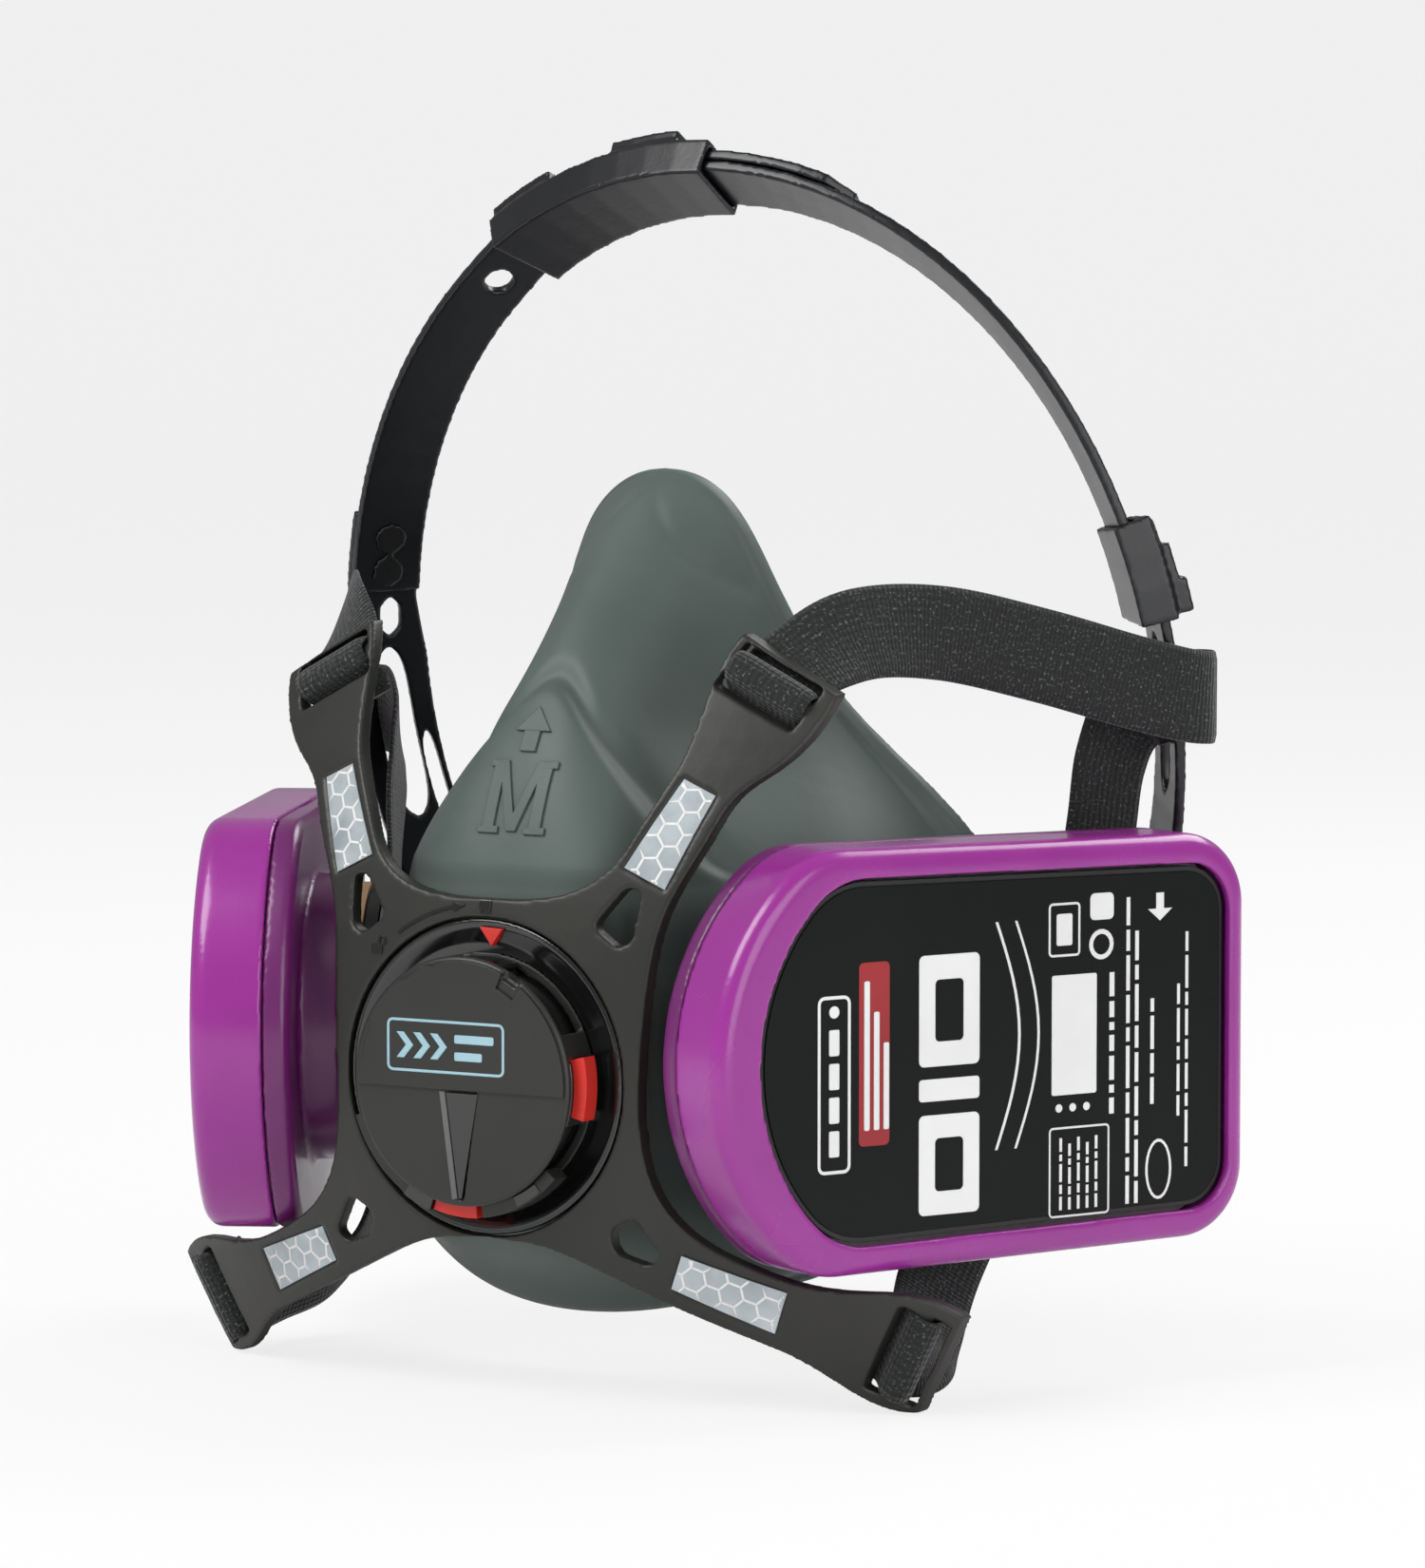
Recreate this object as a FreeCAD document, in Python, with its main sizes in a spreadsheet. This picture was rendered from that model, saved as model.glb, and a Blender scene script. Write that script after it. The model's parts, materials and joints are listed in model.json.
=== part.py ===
"""Half-mask respirator with two twist-on particulate cartridges and a head cradle.

Row frame, millimetres: the origin is the centre of the exhalation valve's bezel, +Z is up, the wearer
looks along -Y, and +X is the wearer's left. The object is symmetric about the plane X = 0 apart from
the head cradle's fastenings and slots and the height of the elastic loops.

Three working frames are used:
  valve frame    local x = +X, local y = +Z, local z = forward (-Y), origin at the bezel's centre
  port frame     local x = rearward along the cartridge, local y = +Z, local z = outward normal
  cradle frame   an ellipse of head size, tilted back about X
"""
import FreeCAD, Part
import math
import os

import Sketcher

V = FreeCAD.Vector
doc = FreeCAD.newDocument("respirator")

# ---------------------------------------------------------------- driving dimensions
SIZES = [
    # exhalation valve stack, radii and heights in the valve frame
    ("bezel_radius", 25.7, "outside of the bezel ring"),
    ("bezel_lip", 1.7, "height of the bezel's outer lip"),
    ("bezel_floor", 0.8, "thickness of the bezel's floor"),
    ("bezel_lip_wall", 1.2, "wall of the bezel's lip"),
    ("bezel_slope", 2.6, "radial run of the slope inside the lip"),
    ("bezel_mouth", 16.6, "inner radius of the bezel"),
    ("ring_inner", 16.9, "inner radius of the locking ring"),
    ("ring_outer", 18.3, "outer radius of the locking ring"),
    ("ring_tab", 19.9, "radius of the locking ring's stop tabs"),
    ("ring_low", 1.05, "bottom of the locking ring"),
    ("ring_high", 7.9, "top of the locking ring"),
    ("ring_tab_angle", 31.0, "width of a stop tab in degrees"),
    ("cover_radius", 20.3, "outside of the valve cover"),
    ("cover_inner", 18.6, "inside of the valve cover's skirt"),
    ("cover_low", 1.1, "bottom of the skirt"),
    ("cover_under", 8.2, "underside of the cover's face"),
    ("cover_top", 9.4, "front of the cover's face"),
    ("tab_top_angle", 12.0, "upper end of the first stop tab, degrees from +X towards +Z"),
    ("cover_turn", 45.0, "turn of the cover from locked to unlocked, degrees"),
    ("window_slack", 1.0, "angle left at each end of a window"),
    ("pointer_depth", 0.8, "depth of the pointer groove"),
    ("pointer_width", 6.2, "width of the pointer groove at its top"),
    ("pointer_length", 18.2, "length of the pointer groove"),
    ("seat_bore", 17.0, "inside of the valve seat"),
    ("seat_tube", 19.7, "outside of the valve seat's tube"),
    ("seat_flange", 24.4, "front flange of the valve seat"),
    ("seat_rear_flange", 22.4, "rear flange of the valve seat"),
    ("seat_flange_front", -0.3, "front of the front flange"),
    ("seat_flange_back", -2.3, "back of the front flange"),
    ("seat_rear_front", -6.6, "front of the rear flange"),
    ("seat_rear_back", -8.6, "back of the rear flange"),
    ("seat_land", 14.2, "inner radius of the sealing land"),
    ("seat_land_front", -1.0, "front of the sealing land"),
    ("seat_land_back", -3.0, "back of the sealing land"),
    ("seat_hub", 3.6, "hub of the spider"),
    ("seat_hub_bore", 1.9, "hole for the flap's stem"),
    ("seat_arm", 2.4, "width of a spider arm"),
    ("spider_bite", 0.5, "how far an arm runs into the hub and the ring round it"),
    ("flap_radius", 15.9, "exhalation flap"),
    ("flap_thick", 0.8, "thickness of a flap"),
    ("flap_lift", 0.3, "rest gap under a flap"),
    ("flap_stem", 1.6, "radius of a flap's stem"),
    ("flap_knob", 2.6, "radius of the stem's knob"),
    ("flap_knob_gap", 1.8, "gap between hub and knob"),
    ("flap_knob_length", 1.8, "length of the knob"),
    # harness yoke: a thin dish, part of a sphere
    ("dish_radius", 142.0, "outer radius of the yoke's dish"),
    ("dish_front", 4.6, "how far the dish's pole stands in front of the origin"),
    ("dish_wall", 3.0, "thickness of the yoke"),
    ("dish_depth", 60.0, "depth of the block that the yoke's outline is cut from"),
    ("yoke_opening", 26.0, "opening for the bezel"),
    ("window_long", 15.6, "strap window, long side"),
    ("window_short", 7.6, "strap window, short side"),
    ("strap_bar", 2.0, "width of the bar across the strap window"),
    ("reflector_pocket", 0.6, "depth of a reflector's pocket"),
    ("reflector_thick", 0.4, "thickness of a reflector"),
    ("reflector_gap", 0.3, "gap round a reflector"),
    # facepiece
    ("face_wall", 2.6, "wall of the facepiece"),
    ("face_front", 2.8, "depth of the facepiece's flat front behind the origin"),
    ("face_hole", 20.0, "front hole of the facepiece"),
    ("face_shoulder", 25.5, "radius where the flat front turns into the cup"),
    ("port_boss", 23.0, "outside of the moulded port boss"),
    # inhalation ports, radii and heights in the port frame
    ("port_x", 50.0, "centre of the left cartridge's back plane, X"),
    ("port_y", 25.0, "the same, Y"),
    ("port_z", 4.5, "the same, Z"),
    ("port_turn", 25.8, "turn of the port frame about Z, degrees"),
    ("boss_low", -17.5, "inner end of the port boss"),
    ("boss_high", -12.4, "outer end of the port boss"),
    ("collar_bore", 14.0, "inside of the port collar"),
    ("collar_tube", 17.0, "tube of the port collar"),
    ("collar_flange", 22.0, "flange of the port collar"),
    ("collar_flange_low", -12.1, "back of the flange"),
    ("collar_flange_high", -9.9, "front of the flange"),
    ("collar_inner_flange", 20.0, "clip flange inside the facepiece"),
    ("collar_inner_low", -20.2, "back of the clip flange"),
    ("collar_inner_high", -17.8, "front of the clip flange"),
    ("collar_neck", 15.9, "radius of the bayonet neck"),
    ("collar_top", -1.8, "outer end of the bayonet neck"),
    ("lug_reach", 1.3, "how far a bayonet lug stands out"),
    ("lug_height", 1.8, "height of a bayonet lug"),
    ("lug_angle", 34.0, "width of a bayonet lug, degrees"),
    ("gasket_inner", 17.6, "inside of the port gasket"),
    ("gasket_outer", 22.6, "outside of the port gasket"),
    ("gasket_low", -9.7, "back of the port gasket"),
    ("gasket_high", -7.2, "front of the port gasket"),
    ("inhale_flap", 12.9, "radius of the inhalation flap"),
    ("inhale_seat", 11.0, "inner radius of the inhalation seat"),
    ("inhale_land", 1.6, "thickness of the inhalation seat"),
    # cartridge, heights in the port frame
    ("cart_front", 34.5, "reach of the outline in front of the port axis"),
    ("cart_rear", 71.3, "reach of the outline behind the port axis"),
    ("cart_half", 34.3, "half height near the port axis"),
    ("cart_rear_half", 33.4, "half height at the rear"),
    ("cart_nose_corner", 16.0, "corner radius at the front"),
    ("cart_tail_corner", 12.0, "corner radius at the rear"),
    ("cart_corner_back", 10.0, "front corner centre ahead of the port axis"),
    ("cart_face", 16.9, "height of the rim's outer face"),
    ("cart_wall", 2.2, "wall of the base and the rim"),
    ("cart_split", 4.5, "height of the joint between base and rim"),
    ("cart_neck", 24.0, "outside of the base's neck"),
    ("cart_neck_low", -6.9, "inner end of the neck"),
    ("cart_neck_bore", 17.5, "inside of the neck, over the bayonet lugs"),
    ("cart_hole", 13.5, "air hole in the base's floor"),
    ("cart_floor", 1.5, "thickness of the base's floor"),
    ("base_chamfer", 1.2, "chamfer round the base's back"),
    ("cart_edge", 3.0, "rounding of the rim's outer edge"),
    ("media_low", 1.8, "bottom of the filter media"),
    ("media_high", 9.4, "top of the filter media"),
    ("media_inset", 3.0, "media inside the outline"),
    ("media_hole", 21.0, "hole in the media over the port"),
    ("lip_thick", 1.8, "thickness of the rim's front lip"),
    ("lip_inset", 3.9, "width of the rim's lip at the sides"),
    ("lip_nose", 4.4, "extra width of the lip at the nose"),
    ("lip_top", 0.9, "extra width of the lip at the top and the bottom"),
    ("cover_low_w", 13.0, "back of the press cover"),
    ("cover_high_w", 15.4, "front of the press cover"),
    ("cover_gap", 0.6, "gap round the press cover"),
    ("label_thick", 0.3, "thickness of the label"),
    ("label_glue", 0.02, "glue line under the label"),
    ("label_inset", 0.8, "label inside the press cover"),
    ("press_travel", 3.0, "travel of the press cover"),
    ("plug_radius", 15.6, "radius of the closing pad under the cover"),
    ("plug_low", 5.0, "back of the closing pad"),
    ("plug_stem", 4.0, "radius of the pad's stem"),
    ("spring_radius", 18.2, "mean radius of the return spring"),
    ("spring_wire", 0.5, "wire radius of the return spring"),
    # head cradle
    ("head_y", 88.1, "centre of the cradle's ellipse, Y"),
    ("head_z", 57.2, "centre of the cradle's ellipse, Z"),
    ("head_width", 75.1, "half width of the ellipse"),
    ("head_height", 87.6, "half height of the ellipse"),
    ("head_tilt", 10.8, "backward tilt of the ellipse, degrees"),
    ("band_cone", 40.8, "lean of the band towards the head, degrees"),
    ("band_width", 12.3, "width of the crown strap"),
    ("band_thick", 1.8, "thickness of a band"),
    ("nape_width", 14.0, "width of the nape band"),
    ("nape_end_width", 12.3, "width of the nape band under the clip and the studs"),
    ("layer_gap", 0.3, "gap between stacked bands"),
    ("adjust_hole", 2.5, "radius of the spare hole in the crown strap"),
    ("stud_radius", 2.1, "radius of a cradle stud"),
    ("sleeve_wall", 1.0, "wall of the crown adjuster and of the side clip"),
    ("tab_rise", 2.2, "height of the adjuster's finger tabs"),
    # elastic straps
    ("strap_width", 15.0, "width of the elastic"),
    ("strap_thick", 1.4, "thickness of the elastic"),
]

sheet = doc.addObject("Spreadsheet::Sheet", "Sizes")
for row, (alias, value, meaning) in enumerate(SIZES, start=1):
    sheet.set("A%d" % row, meaning)
    sheet.set("B%d" % row, str(value))
    sheet.setAlias("B%d" % row, alias)
doc.recompute()


class Size:
    """A dimension that carries both its value and its expression in the sheet."""

    def __init__(self, value, text):
        self.value = value
        self.text = text

    def _combine(self, other, sign, operation):
        if not isinstance(other, Size):
            other = Size(float(other), repr(float(other)))
        return Size(operation(self.value, other.value), "(%s %s %s)" % (self.text, sign, other.text))

    def __add__(self, other):
        return self._combine(other, "+", lambda a, b: a + b)

    def __sub__(self, other):
        return self._combine(other, "-", lambda a, b: a - b)

    def __mul__(self, other):
        return self._combine(other, "*", lambda a, b: a * b)

    def __float__(self):
        return self.value


class Sheet:
    """Gives every alias of the sheet as a Size."""

    def __getattr__(self, alias):
        return Size(float(sheet.get(alias)), "Sizes." + alias)


S = Sheet()


def val(number):
    """The plain value of a Size or a number."""
    return float(number)


def polar(radius, degrees):
    """A point on a circle round the local origin."""
    angle = math.radians(degrees)
    return V(val(radius) * math.cos(angle), val(radius) * math.sin(angle), 0)


def frame(origin, along_x, along_y, along_z):
    """Placement of a local frame given by its origin and axes."""
    return FreeCAD.Placement(origin, FreeCAD.Rotation(along_x, along_y, along_z, "ZXY"))


VALVE = frame(V(0, 0, 0), V(1, 0, 0), V(0, 0, 1), V(0, -1, 0))
PORT_TURN = math.radians(val(S.port_turn))
REARWARD = V(math.sin(PORT_TURN), math.cos(PORT_TURN), 0)
OUTWARD = V(math.cos(PORT_TURN), -math.sin(PORT_TURN), 0)
PORT_CENTRE = V(val(S.port_x), val(S.port_y), val(S.port_z))
PORT = frame(PORT_CENTRE, REARWARD, V(0, 0, 1), OUTWARD)

finished = []


def finish(obj, label):
    """Registers a sub-part under the name of its node."""
    obj.Label = label
    finished.append(obj)
    return obj


# ---------------------------------------------------------------- sketch and body helpers
def new_body(name, placement):
    body = doc.addObject("PartDesign::Body", name)
    body.Placement = placement
    return body


def new_sketch(body, role, height=None):
    """A sketch on one of the body's origin planes, lifted along the plane's normal by a Size."""
    sketch = body.newObject("Sketcher::SketchObject", body.Name + "_sketch")
    plane = [f for f in body.Origin.OriginFeatures if f.Role == role][0]
    sketch.AttachmentSupport = [(plane, "")]
    sketch.MapMode = "FlatFace"
    if height is not None:
        sketch.setExpression("AttachmentOffset.Base.z", height.text)
    return sketch


def draw_polygon(sketch, points):
    """A closed polygon whose every corner is bound to the sheet; a plain 0 puts a corner on an axis."""
    first = sketch.GeometryCount
    corners = [V(val(x), val(y), 0) for x, y in points]
    count = len(corners)
    for i in range(count):
        sketch.addGeometry(Part.LineSegment(corners[i], corners[(i + 1) % count]), False)
    for i in range(count):
        joined = (first + i, 2, first + (i + 1) % count, 1)
        sketch.addConstraint(Sketcher.Constraint("Coincident", *joined))
    for i, (x, y) in enumerate(points):
        bind_coordinate(sketch, "DistanceX", first + i, x, -2)
        bind_coordinate(sketch, "DistanceY", first + i, y, -1)


def bind_coordinate(sketch, kind, line, size, zero_axis):
    """Binds one coordinate of a line's start point to a Size, or puts the point on an axis."""
    if not isinstance(size, Size):
        sketch.addConstraint(Sketcher.Constraint("PointOnObject", line, 1, zero_axis))
        return
    index = sketch.addConstraint(Sketcher.Constraint(kind, -1, 1, line, 1, size.value))
    sketch.setExpression("Constraints[%d]" % index, size.text)


def draw_circle(sketch, radius, centre=V(0, 0, 0)):
    """A circle with its radius bound to the sheet; its centre stays where it is put."""
    circle = sketch.addGeometry(Part.Circle(centre, V(0, 0, 1), val(radius)), False)
    sketch.addConstraint(Sketcher.Constraint("DistanceX", -1, 1, circle, 3, centre.x))
    sketch.addConstraint(Sketcher.Constraint("DistanceY", -1, 1, circle, 3, centre.y))
    index = sketch.addConstraint(Sketcher.Constraint("Radius", circle, val(radius)))
    sketch.setExpression("Constraints[%d]" % index, radius.text)


def draw_curves(sketch, curves):
    """Adds ready-made curves that form a closed outline and fixes them in place."""
    for curve in curves:
        index = sketch.addGeometry(curve, False)
        sketch.addConstraint(Sketcher.Constraint("Block", index))


def turn(body, profile):
    """Revolves a closed (radius, height) profile about the body's local z axis."""
    sketch = new_sketch(body, "XZ_Plane")
    draw_polygon(sketch, profile)
    feature = body.newObject("PartDesign::Revolution", body.Name + "_turn")
    feature.Profile = sketch
    feature.ReferenceAxis = (sketch, ["V_Axis"])
    feature.Angle = 360.0
    return feature


def pad(body, sketch, length):
    feature = body.newObject("PartDesign::Pad", body.Name + "_pad")
    feature.Profile = sketch
    feature.setExpression("Length", length.text)
    return feature


def pocket(body, sketch, length, downward=True):
    """Cuts a sketch into the body and checks that it really removed something."""
    doc.recompute()
    before = body.Shape.Volume
    feature = body.newObject("PartDesign::Pocket", body.Name + "_pocket")
    feature.Profile = sketch
    feature.setExpression("Length", length.text)
    feature.Reversed = not downward
    doc.recompute()
    if body.Shape.Volume >= before:
        raise RuntimeError("pocket cuts nothing in " + body.Name)
    return feature


def turned_part(label, profile, placement):
    body = new_body(label, placement)
    turn(body, profile)
    return finish(body, label)


def sector(inner, outer, start, end):
    """Curves of a ring sector between two angles in degrees."""
    a, b = math.radians(start), math.radians(end)
    axis = V(0, 0, 1)
    return [
        Part.ArcOfCircle(Part.Circle(V(0, 0, 0), axis, val(outer)), a, b),
        Part.LineSegment(polar(outer, end), polar(inner, end)),
        Part.ArcOfCircle(Part.Circle(V(0, 0, 0), axis, val(inner)), a, b),
        Part.LineSegment(polar(inner, start), polar(outer, start)),
    ]


def polar_pattern(body, feature, count):
    pattern = body.newObject("PartDesign::PolarPattern", body.Name + "_pattern")
    pattern.Originals = [feature]
    pattern.Axis = ([f for f in body.Origin.OriginFeatures if f.Role == "Z_Axis"][0], [""])
    pattern.Angle = 360.0
    pattern.Occurrences = count
    body.Tip = pattern
    doc.recompute()
    return pattern


def mirror_part(source, label):
    """The wearer's-right copy of a left sub-part."""
    copy = doc.addObject("Part::Mirroring", label)
    copy.Source = source
    copy.Base = (0, 0, 0)
    copy.Normal = (1, 0, 0)
    return finish(copy, label)


def both_sides(left, name):
    """Finishes a left sub-part and its mirror image."""
    finish(left, "left_" + name)
    mirror_part(left, "right_" + name)


def shape_part(shape, name):
    part = doc.addObject("Part::Feature", name)
    part.Shape = shape
    part.Placement = FreeCAD.Placement()
    return part


# ---------------------------------------------------------------- exhalation valve
STOP_TABS = 4
SPIDER_ARMS = 3
BAYONET_LUGS = 3
# the pair of finger notches in the cover's edge, degrees
COVER_NOTCH = (56, 66)


def spider(body, low, high, ring_inner):
    """Hub and arms that carry a flap's stem inside a ring."""
    hub = new_sketch(body, "XY_Plane", low)
    draw_circle(hub, S.seat_hub)
    draw_circle(hub, S.seat_hub_bore)
    pad(body, hub, high - low)
    arm = new_sketch(body, "XY_Plane", low)
    half = S.seat_arm * 0.5
    start, end = S.seat_hub - S.spider_bite, ring_inner + S.spider_bite
    draw_polygon(arm, [(start, half * -1), (end, half * -1), (end, half), (start, half)])
    arm_pad = pad(body, arm, high - low)
    doc.recompute()
    polar_pattern(body, arm_pad, SPIDER_ARMS)


def valve_seat():
    """Seat through the facepiece's front hole, with a three-armed spider for the flap's stem."""
    body = new_body("valve_seat", VALVE)
    turn(body, [
        (S.seat_land, S.seat_land_front), (S.seat_tube, S.seat_land_front),
        (S.seat_tube, S.seat_flange_front), (S.seat_flange, S.seat_flange_front),
        (S.seat_flange, S.seat_flange_back), (S.seat_tube, S.seat_flange_back),
        (S.seat_tube, S.seat_rear_front), (S.seat_rear_flange, S.seat_rear_front),
        (S.seat_rear_flange, S.seat_rear_back), (S.seat_bore, S.seat_rear_back),
        (S.seat_bore, S.seat_land_back), (S.seat_land, S.seat_land_back)])
    doc.recompute()
    spider(body, S.seat_land_back, S.seat_land_front, S.seat_land)
    finish(body, "valve_seat")


def flap_profile(radius, low, hub_back):
    """Mushroom flap: disc above its seat, stem through the hub, knob behind it."""
    knob_front = hub_back - S.flap_knob_gap
    knob_back = knob_front - S.flap_knob_length
    return [(0, low + S.flap_thick), (radius, low + S.flap_thick), (radius, low),
            (S.flap_stem, low), (S.flap_stem, knob_front), (S.flap_knob, knob_front),
            (S.flap_knob, knob_back), (0, knob_back)]


def exhalation_valve():
    valve_seat()
    turned_part("exhalation_flap",
                flap_profile(S.flap_radius, S.seat_land_front + S.flap_lift, S.seat_land_back), VALVE)
    lip_inner = S.bezel_radius - S.bezel_lip_wall
    slope_foot = lip_inner - S.bezel_slope
    turned_part("valve_bezel", [
        (S.bezel_mouth, 0), (S.bezel_radius, 0), (S.bezel_radius, S.bezel_lip),
        (lip_inner, S.bezel_lip), (slope_foot, S.bezel_floor), (S.bezel_mouth, S.bezel_floor)], VALVE)
    locking_ring()
    valve_cover()


def locking_ring():
    """Ring that the cover turns on; its four tabs fill part of the cover's windows and stop the turn."""
    body = new_body("valve_locking_ring", VALVE)
    turn(body, [(S.ring_inner, S.ring_low), (S.ring_outer, S.ring_low),
                (S.ring_outer, S.ring_high), (S.ring_inner, S.ring_high)])
    tab = new_sketch(body, "XY_Plane", S.ring_low + 0.6)
    top_angle = val(S.tab_top_angle)
    draw_curves(tab, sector(S.ring_outer - 0.4, S.ring_tab, top_angle - val(S.ring_tab_angle), top_angle))
    tab_pad = pad(body, tab, S.ring_high - S.ring_low - 0.9)
    doc.recompute()
    polar_pattern(body, tab_pad, STOP_TABS)
    finish(body, "valve_locking_ring")


def valve_cover():
    """Cap with four windows, a pointer groove and finger notches in its edge."""
    body = new_body("valve_cover", VALVE)
    turn(body, [(0, S.cover_under), (S.cover_inner, S.cover_under), (S.cover_inner, S.cover_low),
                (S.cover_radius, S.cover_low), (S.cover_radius, S.cover_top - 0.5),
                (S.cover_radius - 0.5, S.cover_top), (0, S.cover_top)])
    doc.recompute()
    window = new_sketch(body, "XY_Plane", S.cover_under)
    start = S.tab_top_angle - S.ring_tab_angle - S.cover_turn - S.window_slack
    end = S.tab_top_angle + S.window_slack
    draw_curves(window, sector(S.cover_inner - 0.1, S.cover_radius + 1, val(start), val(end)))
    cut = pocket(body, window, S.cover_under - S.cover_low - 0.3)
    polar_pattern(body, cut, STOP_TABS)
    pointer = new_sketch(body, "XY_Plane", S.cover_top)
    half = S.pointer_width * 0.5
    top = S.cover_radius * -0.05
    draw_polygon(pointer, [(half * -1, top), (half, top), (S.pointer_width * 0.08, top - S.pointer_length),
                           (S.pointer_width * -0.08, top - S.pointer_length)])
    pocket(body, pointer, S.pointer_depth)
    notch = new_sketch(body, "XY_Plane", S.cover_top)
    draw_curves(notch, sector(S.cover_radius - 1.6, S.cover_radius + 1, *COVER_NOTCH))
    pocket(body, notch, S.cover_top - S.cover_under - 0.2)
    finish(body, "valve_cover")


# ---------------------------------------------------------------- harness yoke
# half outline of the yoke in X and Z, on the wearer's left: hub, upper arm, side, lower arm, hub
UPPER_INNER = [(0, 28.9), (10.8, 29.5), (17.7, 31.7), (22.6, 35.9), (26.0, 42.3), (30.0, 50.3),
               (31.7, 57.0), (32.7, 64.0), (35.4, 71.9)]
OUTER_SIDE = [(52.3, 62.3), (50.3, 56.6), (45.6, 50.6), (40.4, 46.2), (37.0, 39.6), (31.6, 27.7),
              (29.5, 14.0), (28.8, 2.0), (29.0, -9.4), (31.4, -18.1), (36.6, -24.2), (44.0, -28.4),
              (53.2, -31.8), (59.5, -32.6), (66.6, -33.0), (74.7, -36.9)]
LOWER_EDGE = [(66.1, -53.1), (60.6, -51.9), (55.6, -48.3), (50.6, -44.4), (44.4, -41.3),
              (33.0, -36.4), (22.0, -31.4), (11.0, -27.2), (0, -26.3)]
# reflector and window quads: centre, direction of the long axis in degrees, length, widths at both ends
UPPER_REFLECTOR = ((30.9, 40.4), 65.0, 16.6, 8.4, 6.6)
LOWER_REFLECTOR = ((40.9, -33.2), -22.0, 17.4, 6.6, 8.0)
UPPER_WINDOW = ((41.4, 63.4), 62.6)
LOWER_WINDOW = ((65.9, -43.4), -27.6)
# rounded triangular reliefs, corners in X and Z
UPPER_RELIEF = [(19.6, 25.2), (24.6, 31.6), (27.2, 31.4), (26.6, 23.4), (24.2, 21.9)]
LOWER_RELIEF = [(22.6, -23.6), (27.0, -21.2), (30.9, -27.6), (28.7, -29.3), (23.1, -27.4)]


def flat(points):
    return [V(x, z, 0) for x, z in points]


def spline(points):
    curve = Part.BSplineCurve()
    curve.interpolate(points)
    return curve


def mirrored(points):
    return [V(-p.x, p.y, p.z) for p in reversed(points)]


def yoke_outline():
    """Closed outline of the yoke: splines along the arms, straight ends across the buckles."""
    inner, side, lower = flat(UPPER_INNER), flat(OUTER_SIDE), flat(LOWER_EDGE)
    top = mirrored(inner[1:]) + inner
    bottom = lower + mirrored(lower[:-1])
    right_side = mirrored(side)
    return [spline(top), Part.LineSegment(top[-1], side[0]), spline(side),
            Part.LineSegment(side[-1], bottom[0]), spline(bottom),
            Part.LineSegment(bottom[-1], right_side[0]), spline(right_side),
            Part.LineSegment(right_side[-1], top[0])]


def quad(centre, degrees, length, near_width, far_width):
    """Four corners of a tapered strip lying along a direction."""
    angle = math.radians(degrees)
    along = V(math.cos(angle), math.sin(angle), 0)
    across = V(-math.sin(angle), math.cos(angle), 0)
    middle = V(centre[0], centre[1], 0)
    start, end = middle - along * (length / 2), middle + along * (length / 2)
    return [start - across * (near_width / 2), end - across * (far_width / 2),
            end + across * (far_width / 2), start + across * (near_width / 2)]


def prism(corners, name):
    """A tall prism along Y over corners given in X and Z, on both sides of the symmetry plane."""
    depth_front, depth_back = -20.0, 60.0
    solids = []
    for side in (1, -1):
        loop = [V(side * p.x, depth_front, p.y) for p in corners]
        face = Part.Face(Part.makePolygon(loop + loop[:1]))
        solids.append(face.extrude(V(0, depth_back - depth_front, 0)))
    tool = doc.addObject("Part::Feature", name)
    tool.Shape = Part.makeCompound(solids)
    return tool


def ball(name, radius):
    """A sphere about the centre of the yoke's dish, its radius bound to the sheet."""
    sphere = doc.addObject("Part::Sphere", name)
    sphere.setExpression("Radius", radius.text)
    sphere.setExpression("Placement.Base.y", "Sizes.dish_radius - Sizes.dish_front")
    return sphere


def boolean(kind, name, base, tool):
    result = doc.addObject("Part::" + kind, name)
    result.Base = base
    result.Tool = tool
    return result


def shell_between(name, outer, inner):
    return boolean("Cut", name, ball(name + "_outer", outer), ball(name + "_inner", inner))


def round_corners(corners, radius):
    """Rounds a convex polygon's corners and returns it as more points."""
    rounded = []
    count = len(corners)
    steps = 4
    for i, corner in enumerate(corners):
        before, after = corners[i - 1] - corner, corners[(i + 1) % count] - corner
        reach = min(radius, 0.4 * before.Length, 0.4 * after.Length)
        before, after = before.normalize() * reach, after.normalize() * reach
        for k in range(steps + 1):
            f = k / steps
            rounded.append(corner + before * (1 - f) ** 2 + after * f ** 2)
    return rounded


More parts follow.
